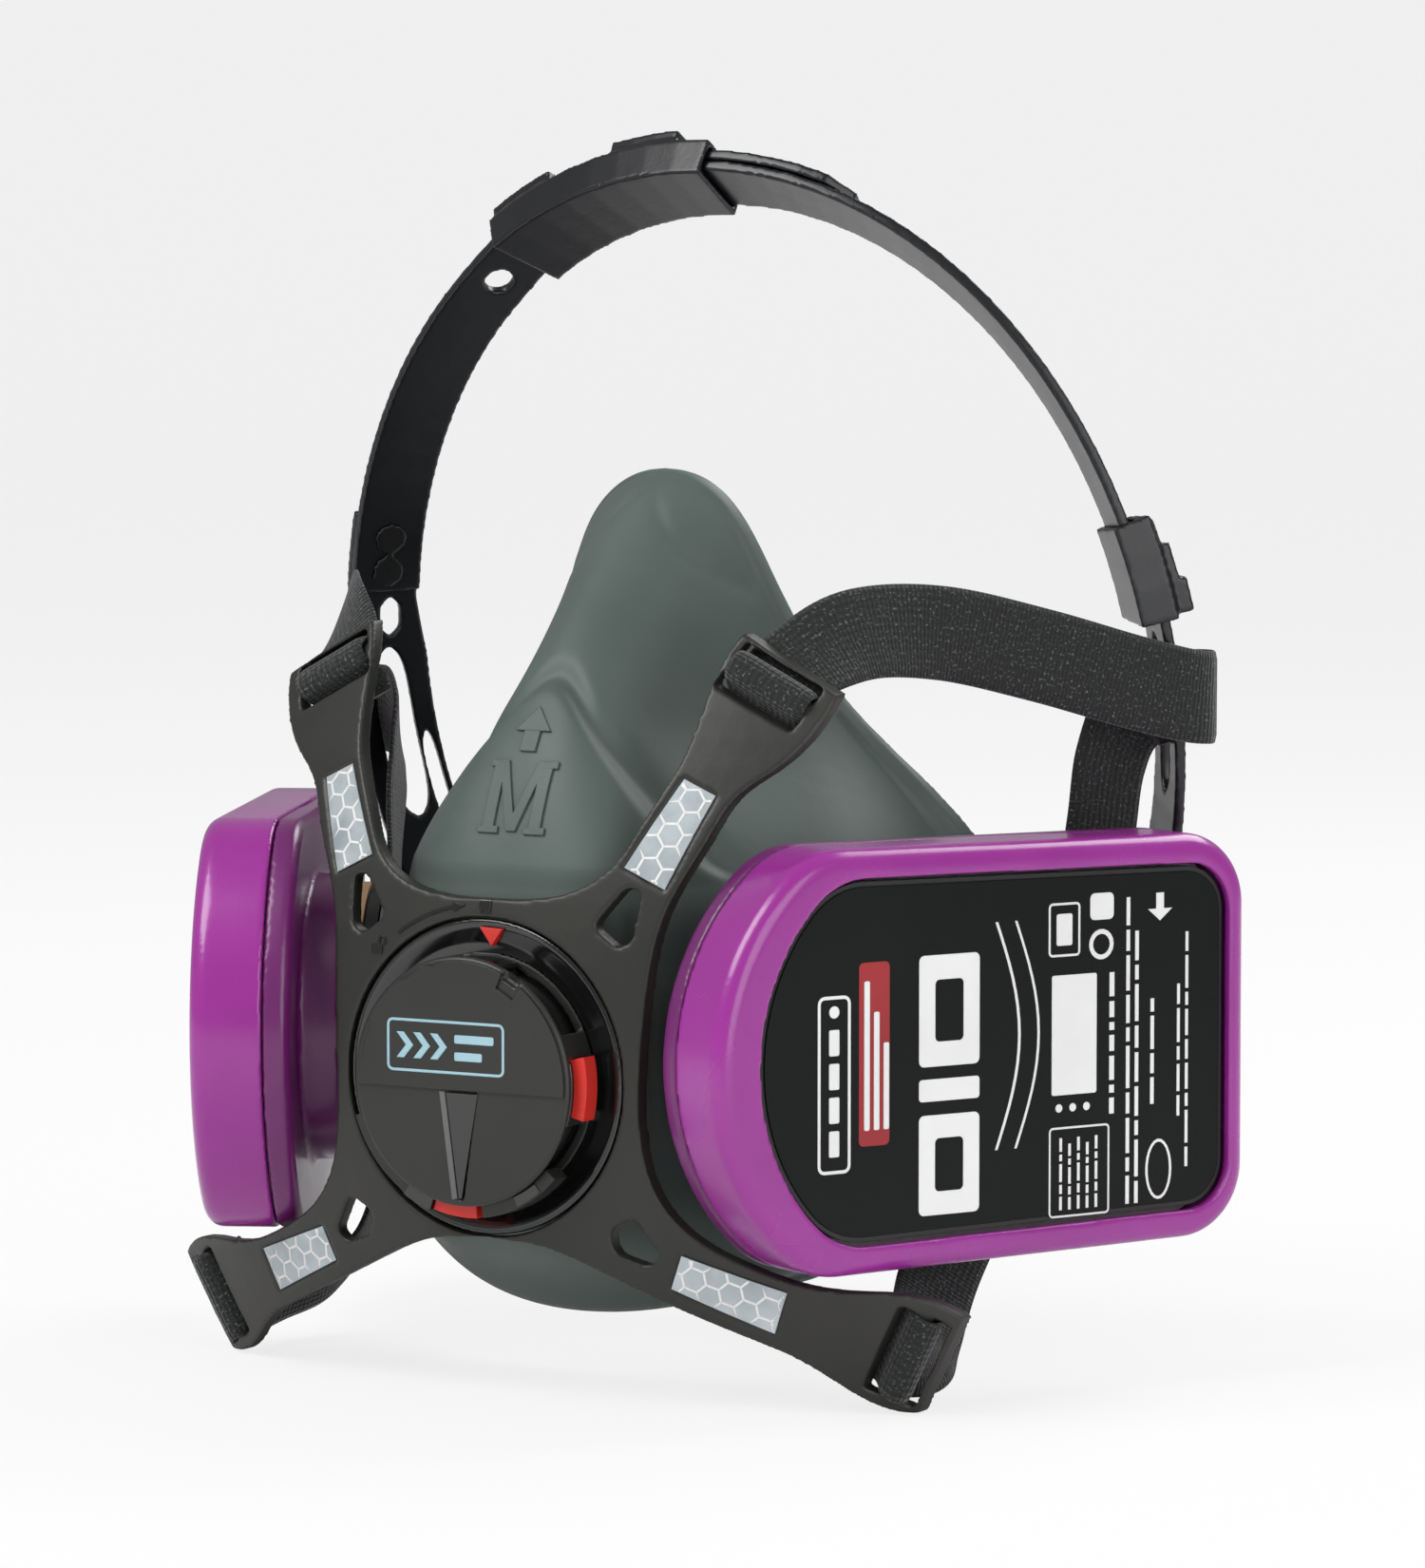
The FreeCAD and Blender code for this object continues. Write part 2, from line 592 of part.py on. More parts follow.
def harness_yoke():
    body = new_body("yoke_blank", frame(V(0, 45, 0), V(1, 0, 0), V(0, 0, 1), V(0, -1, 0)))
    outline = new_sketch(body, "XY_Plane")
    draw_curves(outline, yoke_outline())
    pad(body, outline, S.dish_depth)
    dish = shell_between("dish", S.dish_radius, S.dish_radius - S.dish_wall)
    result = boolean("Common", "yoke_dish", body, dish)
    opening = doc.addObject("Part::Cylinder", "yoke_opening_tool")
    opening.setExpression("Radius", S.yoke_opening.text)
    opening.Height = 60
    opening.Placement = FreeCAD.Placement(V(0, -30, 0), FreeCAD.Rotation(V(1, 0, 0), -90))
    result = boolean("Cut", "yoke_ring", result, opening)
    long_side, short_side = val(S.window_long), val(S.window_short)
    slot = (short_side - val(S.strap_bar)) / 2
    for name, (centre, degrees) in (("upper", UPPER_WINDOW), ("lower", LOWER_WINDOW)):
        angle = math.radians(degrees)
        for which, side in (("outer", 1), ("inner", -1)):
            shift = side * (slot + val(S.strap_bar)) / 2
            middle = (centre[0] + shift * math.cos(angle), centre[1] + shift * math.sin(angle))
            tool = prism(quad(middle, degrees, slot, long_side, long_side), "%s_%s_slot" % (name, which))
            result = boolean("Cut", "yoke_%s_%s" % (name, which), result, tool)
    for name, corners in (("upper", UPPER_RELIEF), ("lower", LOWER_RELIEF)):
        tool = prism(round_corners(flat(corners), 1.6), name + "_relief_tool")
        result = boolean("Cut", "yoke_%s_relief" % name, result, tool)
    skin = shell_between("pocket_skin", S.dish_radius + 1, S.dish_radius - S.reflector_pocket)
    for name, shape in (("upper", UPPER_REFLECTOR), ("lower", LOWER_REFLECTOR)):
        tool = prism(quad(*shape), name + "_pocket_prism")
        tool = boolean("Common", name + "_pocket_tool", tool, skin)
        result = boolean("Cut", "yoke_%s_pocket" % name, result, tool)
    finish(result, "harness_yoke")


def reflectors():
    """Four adhesive strips lying in the yoke's pockets."""
    gap = val(S.reflector_gap)
    low = S.dish_radius - S.reflector_pocket + 0.05
    for name, (centre, degrees, length, near, far) in (
            ("upper_reflector", UPPER_REFLECTOR), ("lower_reflector", LOWER_REFLECTOR)):
        layer = shell_between(name + "_layer", low + S.reflector_thick, low)
        corners = quad(centre, degrees, length - 2 * gap, near - 2 * gap, far - 2 * gap)
        loop = [V(p.x, -20, p.y) for p in corners]
        tool = doc.addObject("Part::Feature", name + "_prism")
        tool.Shape = Part.Face(Part.makePolygon(loop + loop[:1])).extrude(V(0, 80, 0))
        both_sides(boolean("Common", name, tool, layer), name)


# ---------------------------------------------------------------- facepiece
# contours of the outer skin as (X, Y, Z), from the nose over the cheek, side and jaw to the chin
SHOULDER = [(0, 7.4, 40.5), (8.5, 7.4, 39.5), (15.5, 7.6, 35.0), (22.0, 8.0, 27.0), (26.5, 8.8, 15.0),
            (28.0, 9.4, 0.0), (25.5, 9.0, -17.0), (15.5, 8.2, -27.5), (0, 8.0, -30.5)]
MIDDLE = [(0, 21.0, 64.5), (8.2, 22.2, 61.5), (14.5, 24.2, 53.5), (23.0, 26.6, 42.5), (33.5, 28.5, 26.0),
          (38.0, 29.6, 4.0), (34.5, 27.0, -22.0), (19.5, 23.5, -35.0), (0, 21.5, -38.5)]
REAR = [(0, 42.0, 86.0), (9.5, 43.5, 81.5), (15.5, 46.0, 71.0), (25.0, 49.5, 54.0), (41.0, 52.4, 33.0),
        (49.6, 52.8, 7.0), (43.5, 46.0, -26.0), (22.5, 35.0, -39.0), (0, 33.0, -41.5)]
RIM = [(0, 59.0, 93.6), (11.5, 59.8, 88.5), (18.0, 61.6, 77.5), (29.0, 66.5, 58.5), (48.5, 76.5, 36.0),
       (57.0, 82.0, 9.0), (46.5, 65.0, -28.0), (24.0, 46.0, -40.0), (0, 41.5, -42.5)]
SEAL = [(0, 62.5, 82.0), (8.0, 64.0, 77.0), (13.5, 67.0, 67.0), (22.5, 71.5, 51.5), (37.0, 79.0, 31.0),
        (45.0, 83.5, 7.0), (37.0, 68.5, -20.0), (19.0, 51.5, -30.5), (0, 47.0, -33.0)]


def contour(points):
    """Closed smooth wire through a half contour and its mirror image."""
    half = [V(*p) for p in points]
    loop = half + [V(-p.x, p.y, p.z) for p in reversed(half[1:-1])]
    curve = Part.BSplineCurve()
    curve.interpolate(Points=loop, PeriodicFlag=True)
    return Part.Wire(curve.toShape())


def circle_contour(radius, depth):
    """A circle round the valve axis as the same kind of half contour."""
    angles = [math.pi * i / (len(RIM) - 1) for i in range(len(RIM))]
    return [(radius * math.sin(a), depth, radius * math.cos(a)) for a in angles]


def inset(points, wall, back):
    """A contour moved inside the wall: towards the mask's axis and backwards."""
    axis_z = 8.0
    moved = []
    for x, y, z in points:
        reach = math.hypot(x, z - axis_z)
        shrink = (reach - wall) / reach
        moved.append((x * shrink, y + back, axis_z + (z - axis_z) * shrink))
    return moved


def loft_skin(contours):
    return Part.makeLoft([contour(c) for c in contours], False, False)


def facepiece_shape():
    """Elastomer cup: outer skin, inner skin and the turned-in face seal, closed into one solid."""
    wall, front = val(S.face_wall), val(S.face_front)
    hole, shoulder = val(S.face_hole), val(S.face_shoulder)
    outer = [circle_contour(hole, front), circle_contour(shoulder, front + 0.4), SHOULDER, MIDDLE, REAR, RIM]
    inner = [circle_contour(hole, front + wall), inset(circle_contour(shoulder, front), 1.5, wall),
             inset(SHOULDER, wall * 0.7, wall * 0.8), inset(MIDDLE, wall, wall * 0.5),
             inset(REAR, wall, wall * 0.3), inset(RIM, wall + 1.0, -1.5)]
    faces = loft_skin(outer).Faces + loft_skin(inner).Faces
    for start, end in ((outer[0], inner[0]), (RIM, SEAL), (SEAL, inner[-1])):
        faces += Part.makeLoft([contour(start), contour(end)], False, True).Faces
    shell = Part.makeShell(faces)
    shell.sewShape()
    solid = Part.makeSolid(shell)
    if solid.Volume < 0:
        solid.reverse()
    return solid


def port_cylinder(radius, low, high):
    """A cylinder on the left port axis between two heights of the port frame."""
    start = PORT_CENTRE + OUTWARD * val(low)
    return Part.makeCylinder(val(radius), val(high) - val(low), start, OUTWARD)


def facepiece():
    solid = facepiece_shape()
    bosses, bores = [], []
    for cylinder, group in ((port_cylinder(S.port_boss, S.boss_low, S.boss_high), bosses),
                            (port_cylinder(S.collar_tube + S.layer_gap, -40, 20), bores),
                            (port_cylinder(S.collar_inner_flange + S.layer_gap, -40, S.boss_low), bores)):
        group += [cylinder, cylinder.mirror(V(0, 0, 0), V(1, 0, 0))]
    clear = port_cylinder(val(S.port_boss) + 6, S.boss_high, 20)
    clears = [clear, clear.mirror(V(0, 0, 0), V(1, 0, 0))]
    solid = solid.cut(clears).fuse(bosses).cut(bores)
    biggest = max(solid.Solids, key=lambda s: s.Volume)
    finish(shape_part(biggest, "facepiece"), "facepiece")


# ---------------------------------------------------------------- inhalation ports
def port_collar():
    """Collar clipped through the boss: seat for the flap inside, bayonet neck with lugs outside."""
    body = new_body("port_collar", PORT)
    turn(body, [
        (S.inhale_seat, S.collar_inner_low), (S.collar_inner_flange, S.collar_inner_low),
        (S.collar_inner_flange, S.collar_inner_high), (S.collar_tube, S.collar_inner_high),
        (S.collar_tube, S.collar_flange_low), (S.collar_flange, S.collar_flange_low),
        (S.collar_flange, S.collar_flange_high), (S.collar_neck, S.collar_flange_high),
        (S.collar_neck, S.collar_top), (S.collar_bore, S.collar_top),
        (S.collar_bore, S.collar_inner_low + S.inhale_land),
        (S.inhale_seat, S.collar_inner_low + S.inhale_land)])
    doc.recompute()
    spider(body, S.collar_inner_low, S.collar_inner_low + S.inhale_land, S.inhale_seat)
    lug = new_sketch(body, "XY_Plane", S.collar_top - S.lug_height)
    draw_curves(lug, sector(S.collar_neck - 0.5, S.collar_neck + S.lug_reach,
                            -val(S.lug_angle) / 2, val(S.lug_angle) / 2))
    lug_pad = pad(body, lug, S.lug_height)
    doc.recompute()
    polar_pattern(body, lug_pad, BAYONET_LUGS)
    both_sides(body, "port_collar")


def inhalation_flap():
    """Thin flap inside the collar's inner end; it lifts into the face cavity."""
    body = new_body("inhalation_flap", PORT)
    seat_front = S.collar_inner_low + S.inhale_land
    disc_high = S.collar_inner_low - S.flap_lift
    knob_low = seat_front + S.flap_knob_gap
    turn(body, [(0, disc_high - S.flap_thick), (S.inhale_flap, disc_high - S.flap_thick),
                (S.inhale_flap, disc_high), (S.flap_stem, disc_high), (S.flap_stem, knob_low),
                (S.flap_knob, knob_low), (S.flap_knob, knob_low + S.flap_knob_length),
                (0, knob_low + S.flap_knob_length)])
    both_sides(body, "inhalation_flap")


def port_gasket():
    body = new_body("port_gasket", PORT)
    turn(body, [(S.gasket_inner, S.gasket_low), (S.gasket_outer, S.gasket_low),
                (S.gasket_outer, S.gasket_high), (S.gasket_inner, S.gasket_high)])
    both_sides(body, "port_gasket")


# ---------------------------------------------------------------- cartridges
SPRING_TURNS = 3
# sections of the coil in each turn, and corners of each section
SPRING_STEPS = 24
WIRE_SIDES = 8


def tangent_points(centre_a, radius_a, centre_b, radius_b):
    """Upper common tangent of two circles."""
    gap = centre_b - centre_a
    lean = math.asin((radius_b - radius_a) / gap.Length)
    angle = math.atan2(gap.y, gap.x) + math.pi / 2 + lean
    normal = V(math.cos(angle), math.sin(angle), 0)
    return centre_a + normal * radius_a, centre_b + normal * radius_b


def arc_between(centre, radius, start, end):
    """Arc round a centre from one point to another, anticlockwise."""
    a = math.atan2(start.y - centre.y, start.x - centre.x)
    b = math.atan2(end.y - centre.y, end.x - centre.x)
    if b < a:
        b += 2 * math.pi
    return Part.ArcOfCircle(Part.Circle(centre, V(0, 0, 1), radius), a, b)


def flip(point):
    return V(point.x, -point.y, 0)


def cartridge_outline(inset_by, nose_extra=0.0, top_extra=0.0):
    """Outline of the cartridge moved inwards: a blunt nose arc, four corner arcs, three straight sides."""
    reach = val(S.cart_front) - inset_by - nose_extra
    tail = val(S.cart_rear) - inset_by
    half = val(S.cart_half) - inset_by - top_extra
    tail_half = val(S.cart_rear_half) - inset_by - top_extra
    nose_corner = val(S.cart_nose_corner) - inset_by * 0.5
    tail_corner = max(val(S.cart_tail_corner) - inset_by, 4.0)
    corner = V(-val(S.cart_corner_back) + nose_extra, half - nose_corner, 0)
    # the nose arc touches the corner arc from outside and passes through the front-most point
    run = reach + corner.x
    nose_radius = (run ** 2 + corner.y ** 2 - nose_corner ** 2) / (2 * (run - nose_corner))
    nose_centre = V(nose_radius - reach, 0, 0)
    touch = nose_centre + (corner - nose_centre).normalize() * nose_radius
    tail_centre = V(tail - tail_corner, tail_half - tail_corner, 0)
    top_front, top_rear = tangent_points(corner, nose_corner, tail_centre, tail_corner)
    tail_top = V(tail, tail_centre.y, 0)
    return [
        arc_between(corner, nose_corner, top_front, touch),
        arc_between(nose_centre, nose_radius, touch, flip(touch)),
        arc_between(flip(corner), nose_corner, flip(touch), flip(top_front)),
        Part.LineSegment(flip(top_front), flip(top_rear)),
        arc_between(flip(tail_centre), tail_corner, flip(top_rear), flip(tail_top)),
        Part.LineSegment(flip(tail_top), tail_top),
        arc_between(tail_centre, tail_corner, tail_top, top_rear),
        Part.LineSegment(top_rear, top_front),
    ]


def outline_pad(body, low, high, inset_by, nose_extra=0.0, top_extra=0.0):
    sketch = new_sketch(body, "XY_Plane", low)
    draw_curves(sketch, cartridge_outline(inset_by, nose_extra, top_extra))
    return pad(body, sketch, high if low is None else high - low)


def outline_pocket(body, high, depth, inset_by, nose_extra=0.0, top_extra=0.0):
    sketch = new_sketch(body, "XY_Plane", high)
    draw_curves(sketch, cartridge_outline(inset_by, nose_extra, top_extra))
    return pocket(body, sketch, depth)


def edges_at_height(body, height):
    """Names of the body's edges that lie in a plane at one local height."""
    shape = body.Tip.Shape
    names = []
    for number, edge in enumerate(shape.Edges, start=1):
        if abs(edge.BoundBox.ZMin - height) < 1e-4 and abs(edge.BoundBox.ZMax - height) < 1e-4:
            names.append("Edge%d" % number)
    return names


def round_edges(body, kind, property_name, size, height):
    """Adds a fillet or chamfer to all edges at one local height."""
    solid = body.Tip
    names = edges_at_height(body, height)
    feature = body.newObject("PartDesign::" + kind, body.Name + "_" + kind.lower())
    feature.Base = (solid, names)
    feature.setExpression(property_name, size.text)
    doc.recompute()


def cartridge_base():
    """Back shell: a shallow tray with a floor, and the neck that locks on the bayonet lugs."""
    body = new_body("filter_base", PORT)
    outline_pad(body, None, S.cart_split, 0)
    doc.recompute()
    round_edges(body, "Chamfer", "Size", S.base_chamfer, 0.0)
    outline_pocket(body, S.cart_split, S.cart_split - S.cart_floor, val(S.cart_wall))
    doc.recompute()
    neck = new_sketch(body, "XY_Plane", S.cart_neck_low)
    draw_circle(neck, S.cart_neck)
    pad(body, neck, S.cart_neck_low * -1 + 0.5)
    doc.recompute()
    bore = new_sketch(body, "XY_Plane", S.cart_neck_low)
    draw_circle(bore, S.cart_neck_bore)
    pocket(body, bore, S.cart_neck_low * -1 - 0.2, downward=False)
    hole = new_sketch(body, "XY_Plane", S.cart_floor)
    draw_circle(hole, S.cart_hole)
    pocket(body, hole, S.cart_floor + 1)
    both_sides(body, "filter_base")


def lip_edge(clearance):
    """Insets of an outline that lies this far inside the rim's lip: sides, nose, top and bottom."""
    return val(S.lip_inset) + clearance, val(S.lip_nose), val(S.lip_top)


def cartridge_rim():
    """Front frame: wall and a flat lip, widest at the nose, with a rounded outer edge."""
    body = new_body("filter_rim", PORT)
    low = S.cart_split + 0.25
    outline_pad(body, low, S.cart_face, 0)
    doc.recompute()
    round_edges(body, "Fillet", "Radius", S.cart_edge, val(S.cart_face))
    wall = val(S.cart_wall) + 0.4
    hollow = new_sketch(body, "XY_Plane", low)
    draw_curves(hollow, cartridge_outline(wall))
    pocket(body, hollow, S.cart_face - S.lip_thick - low, downward=False)
    opening = new_sketch(body, "XY_Plane", S.cart_face)
    draw_curves(opening, cartridge_outline(*lip_edge(0.0)))
    pocket(body, opening, S.lip_thick + 1)
    both_sides(body, "filter_rim")


def filter_media():
    """Pleated pack round the port opening, kept as a plain solid."""
    body = new_body("filter_media", PORT)
    outline_pad(body, S.media_low, S.media_high, val(S.media_inset))
    doc.recompute()
    hole = new_sketch(body, "XY_Plane", S.media_high)
    draw_circle(hole, S.media_hole)
    pocket(body, hole, S.media_high - S.media_low + 1)
    both_sides(body, "filter_media")


def press_cover():
    """Plate inside the rim; pressing it seats the closing pad on the floor's air hole."""
    body = new_body("press_cover", PORT)
    gap = val(S.cover_gap)
    outline_pad(body, S.cover_low_w, S.cover_high_w, *lip_edge(gap))
    doc.recompute()
    stem = new_sketch(body, "XY_Plane", S.plug_low + 2.3)
    draw_circle(stem, S.plug_stem)
    pad(body, stem, S.cover_low_w - S.plug_low - 2.0)
    both_sides(body, "press_cover")


def press_label():
    body = new_body("filter_label", PORT)
    low = S.cover_high_w + S.label_glue
    outline_pad(body, low, low + S.label_thick, *lip_edge(val(S.cover_gap) + val(S.label_inset)))
    both_sides(body, "filter_label")


def closing_pad():
    """Soft pad under the cover, with a socket for the cover's stem."""
    body = new_body("closing_pad", PORT)
    socket = S.plug_stem + 0.1
    turn(body, [(0, S.plug_low), (S.plug_radius, S.plug_low), (S.plug_radius, S.plug_low + 1.2),
                (S.plug_stem + 2.2, S.plug_low + 2.2), (S.plug_stem + 2.2, S.plug_low + 4.2),
                (socket, S.plug_low + 4.2), (socket, S.plug_low + 2.1), (0, S.plug_low + 2.1)])
    both_sides(body, "closing_pad")


def press_spring():
    """Return spring between the floor and the cover: a coil lofted through octagons."""
    clearance = 0.2
    low = val(S.cart_floor) + val(S.spring_wire) + clearance
    high = val(S.cover_low_w) - val(S.spring_wire) - clearance
    sections = []
    last = SPRING_TURNS * SPRING_STEPS
    for i in range(last + 1):
        turn_angle = 2 * math.pi * i / SPRING_STEPS
        radial = V(math.cos(turn_angle), math.sin(turn_angle), 0)
        centre = radial * val(S.spring_radius) + V(0, 0, low + (high - low) * i / last)
        corners = []
        for k in range(WIRE_SIDES):
            a = 2 * math.pi * k / WIRE_SIDES
            corners.append(centre + (radial * math.cos(a) + V(0, 0, 1) * math.sin(a)) * val(S.spring_wire))
        sections.append(Part.makePolygon(corners + corners[:1]))
    part = doc.addObject("Part::Feature", "press_spring")
    part.Shape = Part.makeLoft(sections, True, True)
    part.Placement = PORT
    both_sides(part, "press_spring")


# ---------------------------------------------------------------- head cradle
def cradle_point(degrees, across, lift):
    """A point on the cradle's cone.

    degrees runs round the ellipse from the wearer's left over the crown; across runs over the band's
    width from front to back; lift is the distance outwards from the band's inner face.
    """
    angle = math.radians(degrees)
    rx, rz = val(S.head_width), val(S.head_height)
    lean = math.radians(val(S.band_cone))
    radial = V(math.cos(angle) / rx, 0, math.sin(angle) / rz).normalize()
    width_way = V(0, 1, 0) * math.cos(lean) - radial * math.sin(lean)
    lift_way = V(0, 1, 0) * math.sin(lean) + radial * math.cos(lean)
    point = V(rx * math.cos(angle), 0, rz * math.sin(angle)) + width_way * across + lift_way * lift
    tilt = FreeCAD.Rotation(V(1, 0, 0), val(S.head_tilt))
    return tilt.multVec(point) + V(0, val(S.head_y), val(S.head_z))


def at(limit, angle):
    """A limit of a band that is either a number or a function of the angle."""
    return limit(angle) if callable(limit) else limit


def band(start, end, front, back, low, high, step=3.5):
    """A lofted band along the cradle between two angles, two edges and two lifts."""
    count = max(2, int(round(abs(end - start) / step)) + 1)
    sections = []
    for i in range(count):
        a = start + (end - start) * i / (count - 1)
        corners = [cradle_point(a, at(front, a), at(low, a)), cradle_point(a, at(back, a), at(low, a)),
                   cradle_point(a, at(back, a), at(high, a)), cradle_point(a, at(front, a), at(high, a))]
        sections.append(Part.makePolygon(corners + corners[:1]))
    return Part.makeLoft(sections, True, True)


def cradle_pin(degrees, across, radius, low, high):
    """A round pin through the band's thickness."""
    start = cradle_point(degrees, across, low)
    end = cradle_point(degrees, across, high)
    return Part.makeCylinder(radius, (end - start).Length, start, end - start)


# angles round the cradle, degrees
ADJUSTER_SPAN = (89.0, 121.0)
ADJUSTER_TABS = ((93.5, 102.5), (111.5, 120.5))
TAIL_END = 70.0
TAIL_RUN = 5.0
TAIL_BLUNT = 0.85
CROSSING = (128.0, 112.0)
CLIP_SPAN = (9.5, 20.5)
# steps of the side clip: start, end and rise above the bands
CLIP_STEPS = ((17.2, 20.0, 0.5), (13.4, 17.2, 1.8), (9.9, 13.4, 3.0))
CROWN_LEFT = (11.0, 113.0)
CROWN_RIGHT = (TAIL_END, 170.0)
ADJUST_HOLE = 126.0
STUD_ANGLES = (163.5, 167.5)
NAPE_SPAN = (20.0, -199.0)
# slots in the nape band: first and last angle, middle and width across the band
LEFT_SLOT = (-9.8, 8.0, 0.8, 6.2)
RIGHT_SLOT = (-182.9, -163.0, 0.8, 6.4)
RIGHT_EYELET = (-188.8, -184.3, 1.4, 3.6)
RIGHT_SPLIT = (-172.5, -156.0, 5.6, 2.6)


def crown_half(angle):
    """Half width of the right crown strap: its free tail is rounded over its last few degrees."""
    half = val(S.band_width) / 2
    if angle > TAIL_END + TAIL_RUN:
        return half
    f = 1.0 - (angle - TAIL_END) / TAIL_RUN
    return half * math.sqrt(1.0 - TAIL_BLUNT * f * f)


def crown_lift(angle):
    """The right crown strap rises over the left one before it enters the adjuster."""
    rise_start, rise_end = CROSSING
    step = val(S.band_thick) + val(S.layer_gap)
    return step * smooth((rise_start - angle) / (rise_start - rise_end))


def crown_strap_right():
    thick = val(S.band_thick)
    solid = band(CROWN_RIGHT[0], CROWN_RIGHT[1], lambda a: -crown_half(a), crown_half,
                 crown_lift, lambda a: crown_lift(a) + thick)
    solid = solid.cut(cradle_pin(ADJUST_HOLE, 0, val(S.adjust_hole), -3, 6))
    for angle in STUD_ANGLES:
        solid = solid.cut(cradle_pin(angle, 0, val(S.stud_radius) + 0.15, -3, 6))
    finish(shape_part(solid, "crown_strap_right"), "crown_strap_right")


def crown_strap_left():
    half = val(S.band_width) / 2
    solid = band(CROWN_LEFT[0], CROWN_LEFT[1], -half, half, 0, val(S.band_thick))
    finish(shape_part(solid, "crown_strap_left"), "crown_strap_left")


def crown_adjuster():
    """Sleeve round both crown straps, with two finger tabs on its outer side."""
    wall, gap = val(S.sleeve_wall), val(S.layer_gap)
    half = val(S.band_width) / 2 + gap
    high = 2 * val(S.band_thick) + 2 * gap
    start, end = ADJUSTER_SPAN
    outer = band(start, end, -half - wall, half + wall, -gap - wall, high + wall, step=4.0)
    inner = band(start - 2, end + 2, -half, half, -gap, high + 0.1, step=4.0)
    sleeve = outer.cut(inner)
    for a, b in ADJUSTER_TABS:
        sleeve = sleeve.fuse(band(a, b, -half - wall / 2, half + wall / 2, high + wall / 2,
                                  high + wall + val(S.tab_rise)))
    finish(shape_part(sleeve, "crown_adjuster"), "crown_adjuster")


def nape_layer():
    """Inner and outer lift of the nape band where it lies on the crown straps."""
    low = val(S.band_thick) + val(S.layer_gap)
    return low, low + val(S.band_thick)


def smooth(fraction):
    """Eases from 0 to 1."""
    f = min(1.0, max(0.0, fraction))
    return f * f * (3 - 2 * f)


def below_end(angle):
    """0 at the nape band's two joined ends, 1 where it has left the crown straps."""
    middle = sum(NAPE_SPAN) / 2
    from_end = (NAPE_SPAN[0] - middle) - abs(angle - middle)
    return smooth((from_end - 9.0) / 9.0)


def nape_edges(angle):
    """Front and rear edge of the nape band: it widens rearwards below the crown straps."""
    joined = val(S.nape_end_width) / 2
    free = val(S.nape_width) - joined
    return -joined, joined + (free - joined) * below_end(angle)


def slot_tool(slot):
    """A round-ended slot through the nape band."""
    start, end, middle, width = slot
    centre, run = (start + end) / 2, abs(end - start) / 2

    def half(angle):
        return width / 2 * math.sqrt(max(0.03, 1.0 - ((angle - centre) / run) ** 4))

    return band(start, end, lambda a: middle - half(a), lambda a: middle + half(a), -3, 9, step=0.9)


def nape_band():
    """Band round the neck, from the left clip to the right studs, slotted for the elastics."""
    low, high = nape_layer()
    start, end = NAPE_SPAN
    solid = band(start, end, lambda a: nape_edges(a)[0], lambda a: nape_edges(a)[1], low, high)
    for slot in (LEFT_SLOT, RIGHT_SLOT, RIGHT_EYELET, RIGHT_SPLIT):
        solid = solid.cut(slot_tool(slot))
    for angle in STUD_ANGLES:
        solid = solid.cut(cradle_pin(angle - 360, 0, val(S.stud_radius) + 0.15, -3, 9))
    finish(shape_part(solid, "nape_band"), "nape_band")


def cradle_studs():
    """Two press studs that join the right crown strap to the nape band."""
    low, high = -0.5, nape_layer()[1] + 0.5
    studs = []
    for angle in STUD_ANGLES:
        stud = cradle_pin(angle, 0, val(S.stud_radius), low, high)
        for a, b in ((low, -0.2), (high - 0.3, high)):
            stud = stud.fuse(cradle_pin(angle, 0, val(S.stud_radius) + 0.8, a, b))
        studs.append(stud)
    finish(shape_part(Part.makeCompound(studs), "cradle_studs"), "cradle_studs")


def side_clip():
    """Stepped clip that locks the left crown strap on the nape band."""
    wall, gap = val(S.sleeve_wall), val(S.layer_gap)
    half = val(S.band_width) / 2 + gap
    high = nape_layer()[1] + gap
    start, end = CLIP_SPAN
    outer = band(start, end, -half - wall, half + wall, -gap - wall, high + wall)
    inner = band(start - 1, end + 1, -half, half, -gap, high)
    clip = outer.cut(inner)
    for a, b, rise in CLIP_STEPS:
        clip = clip.fuse(band(a, b, -half, half, high + wall / 2, high + wall + rise))
    finish(shape_part(clip, "side_clip"), "side_clip")


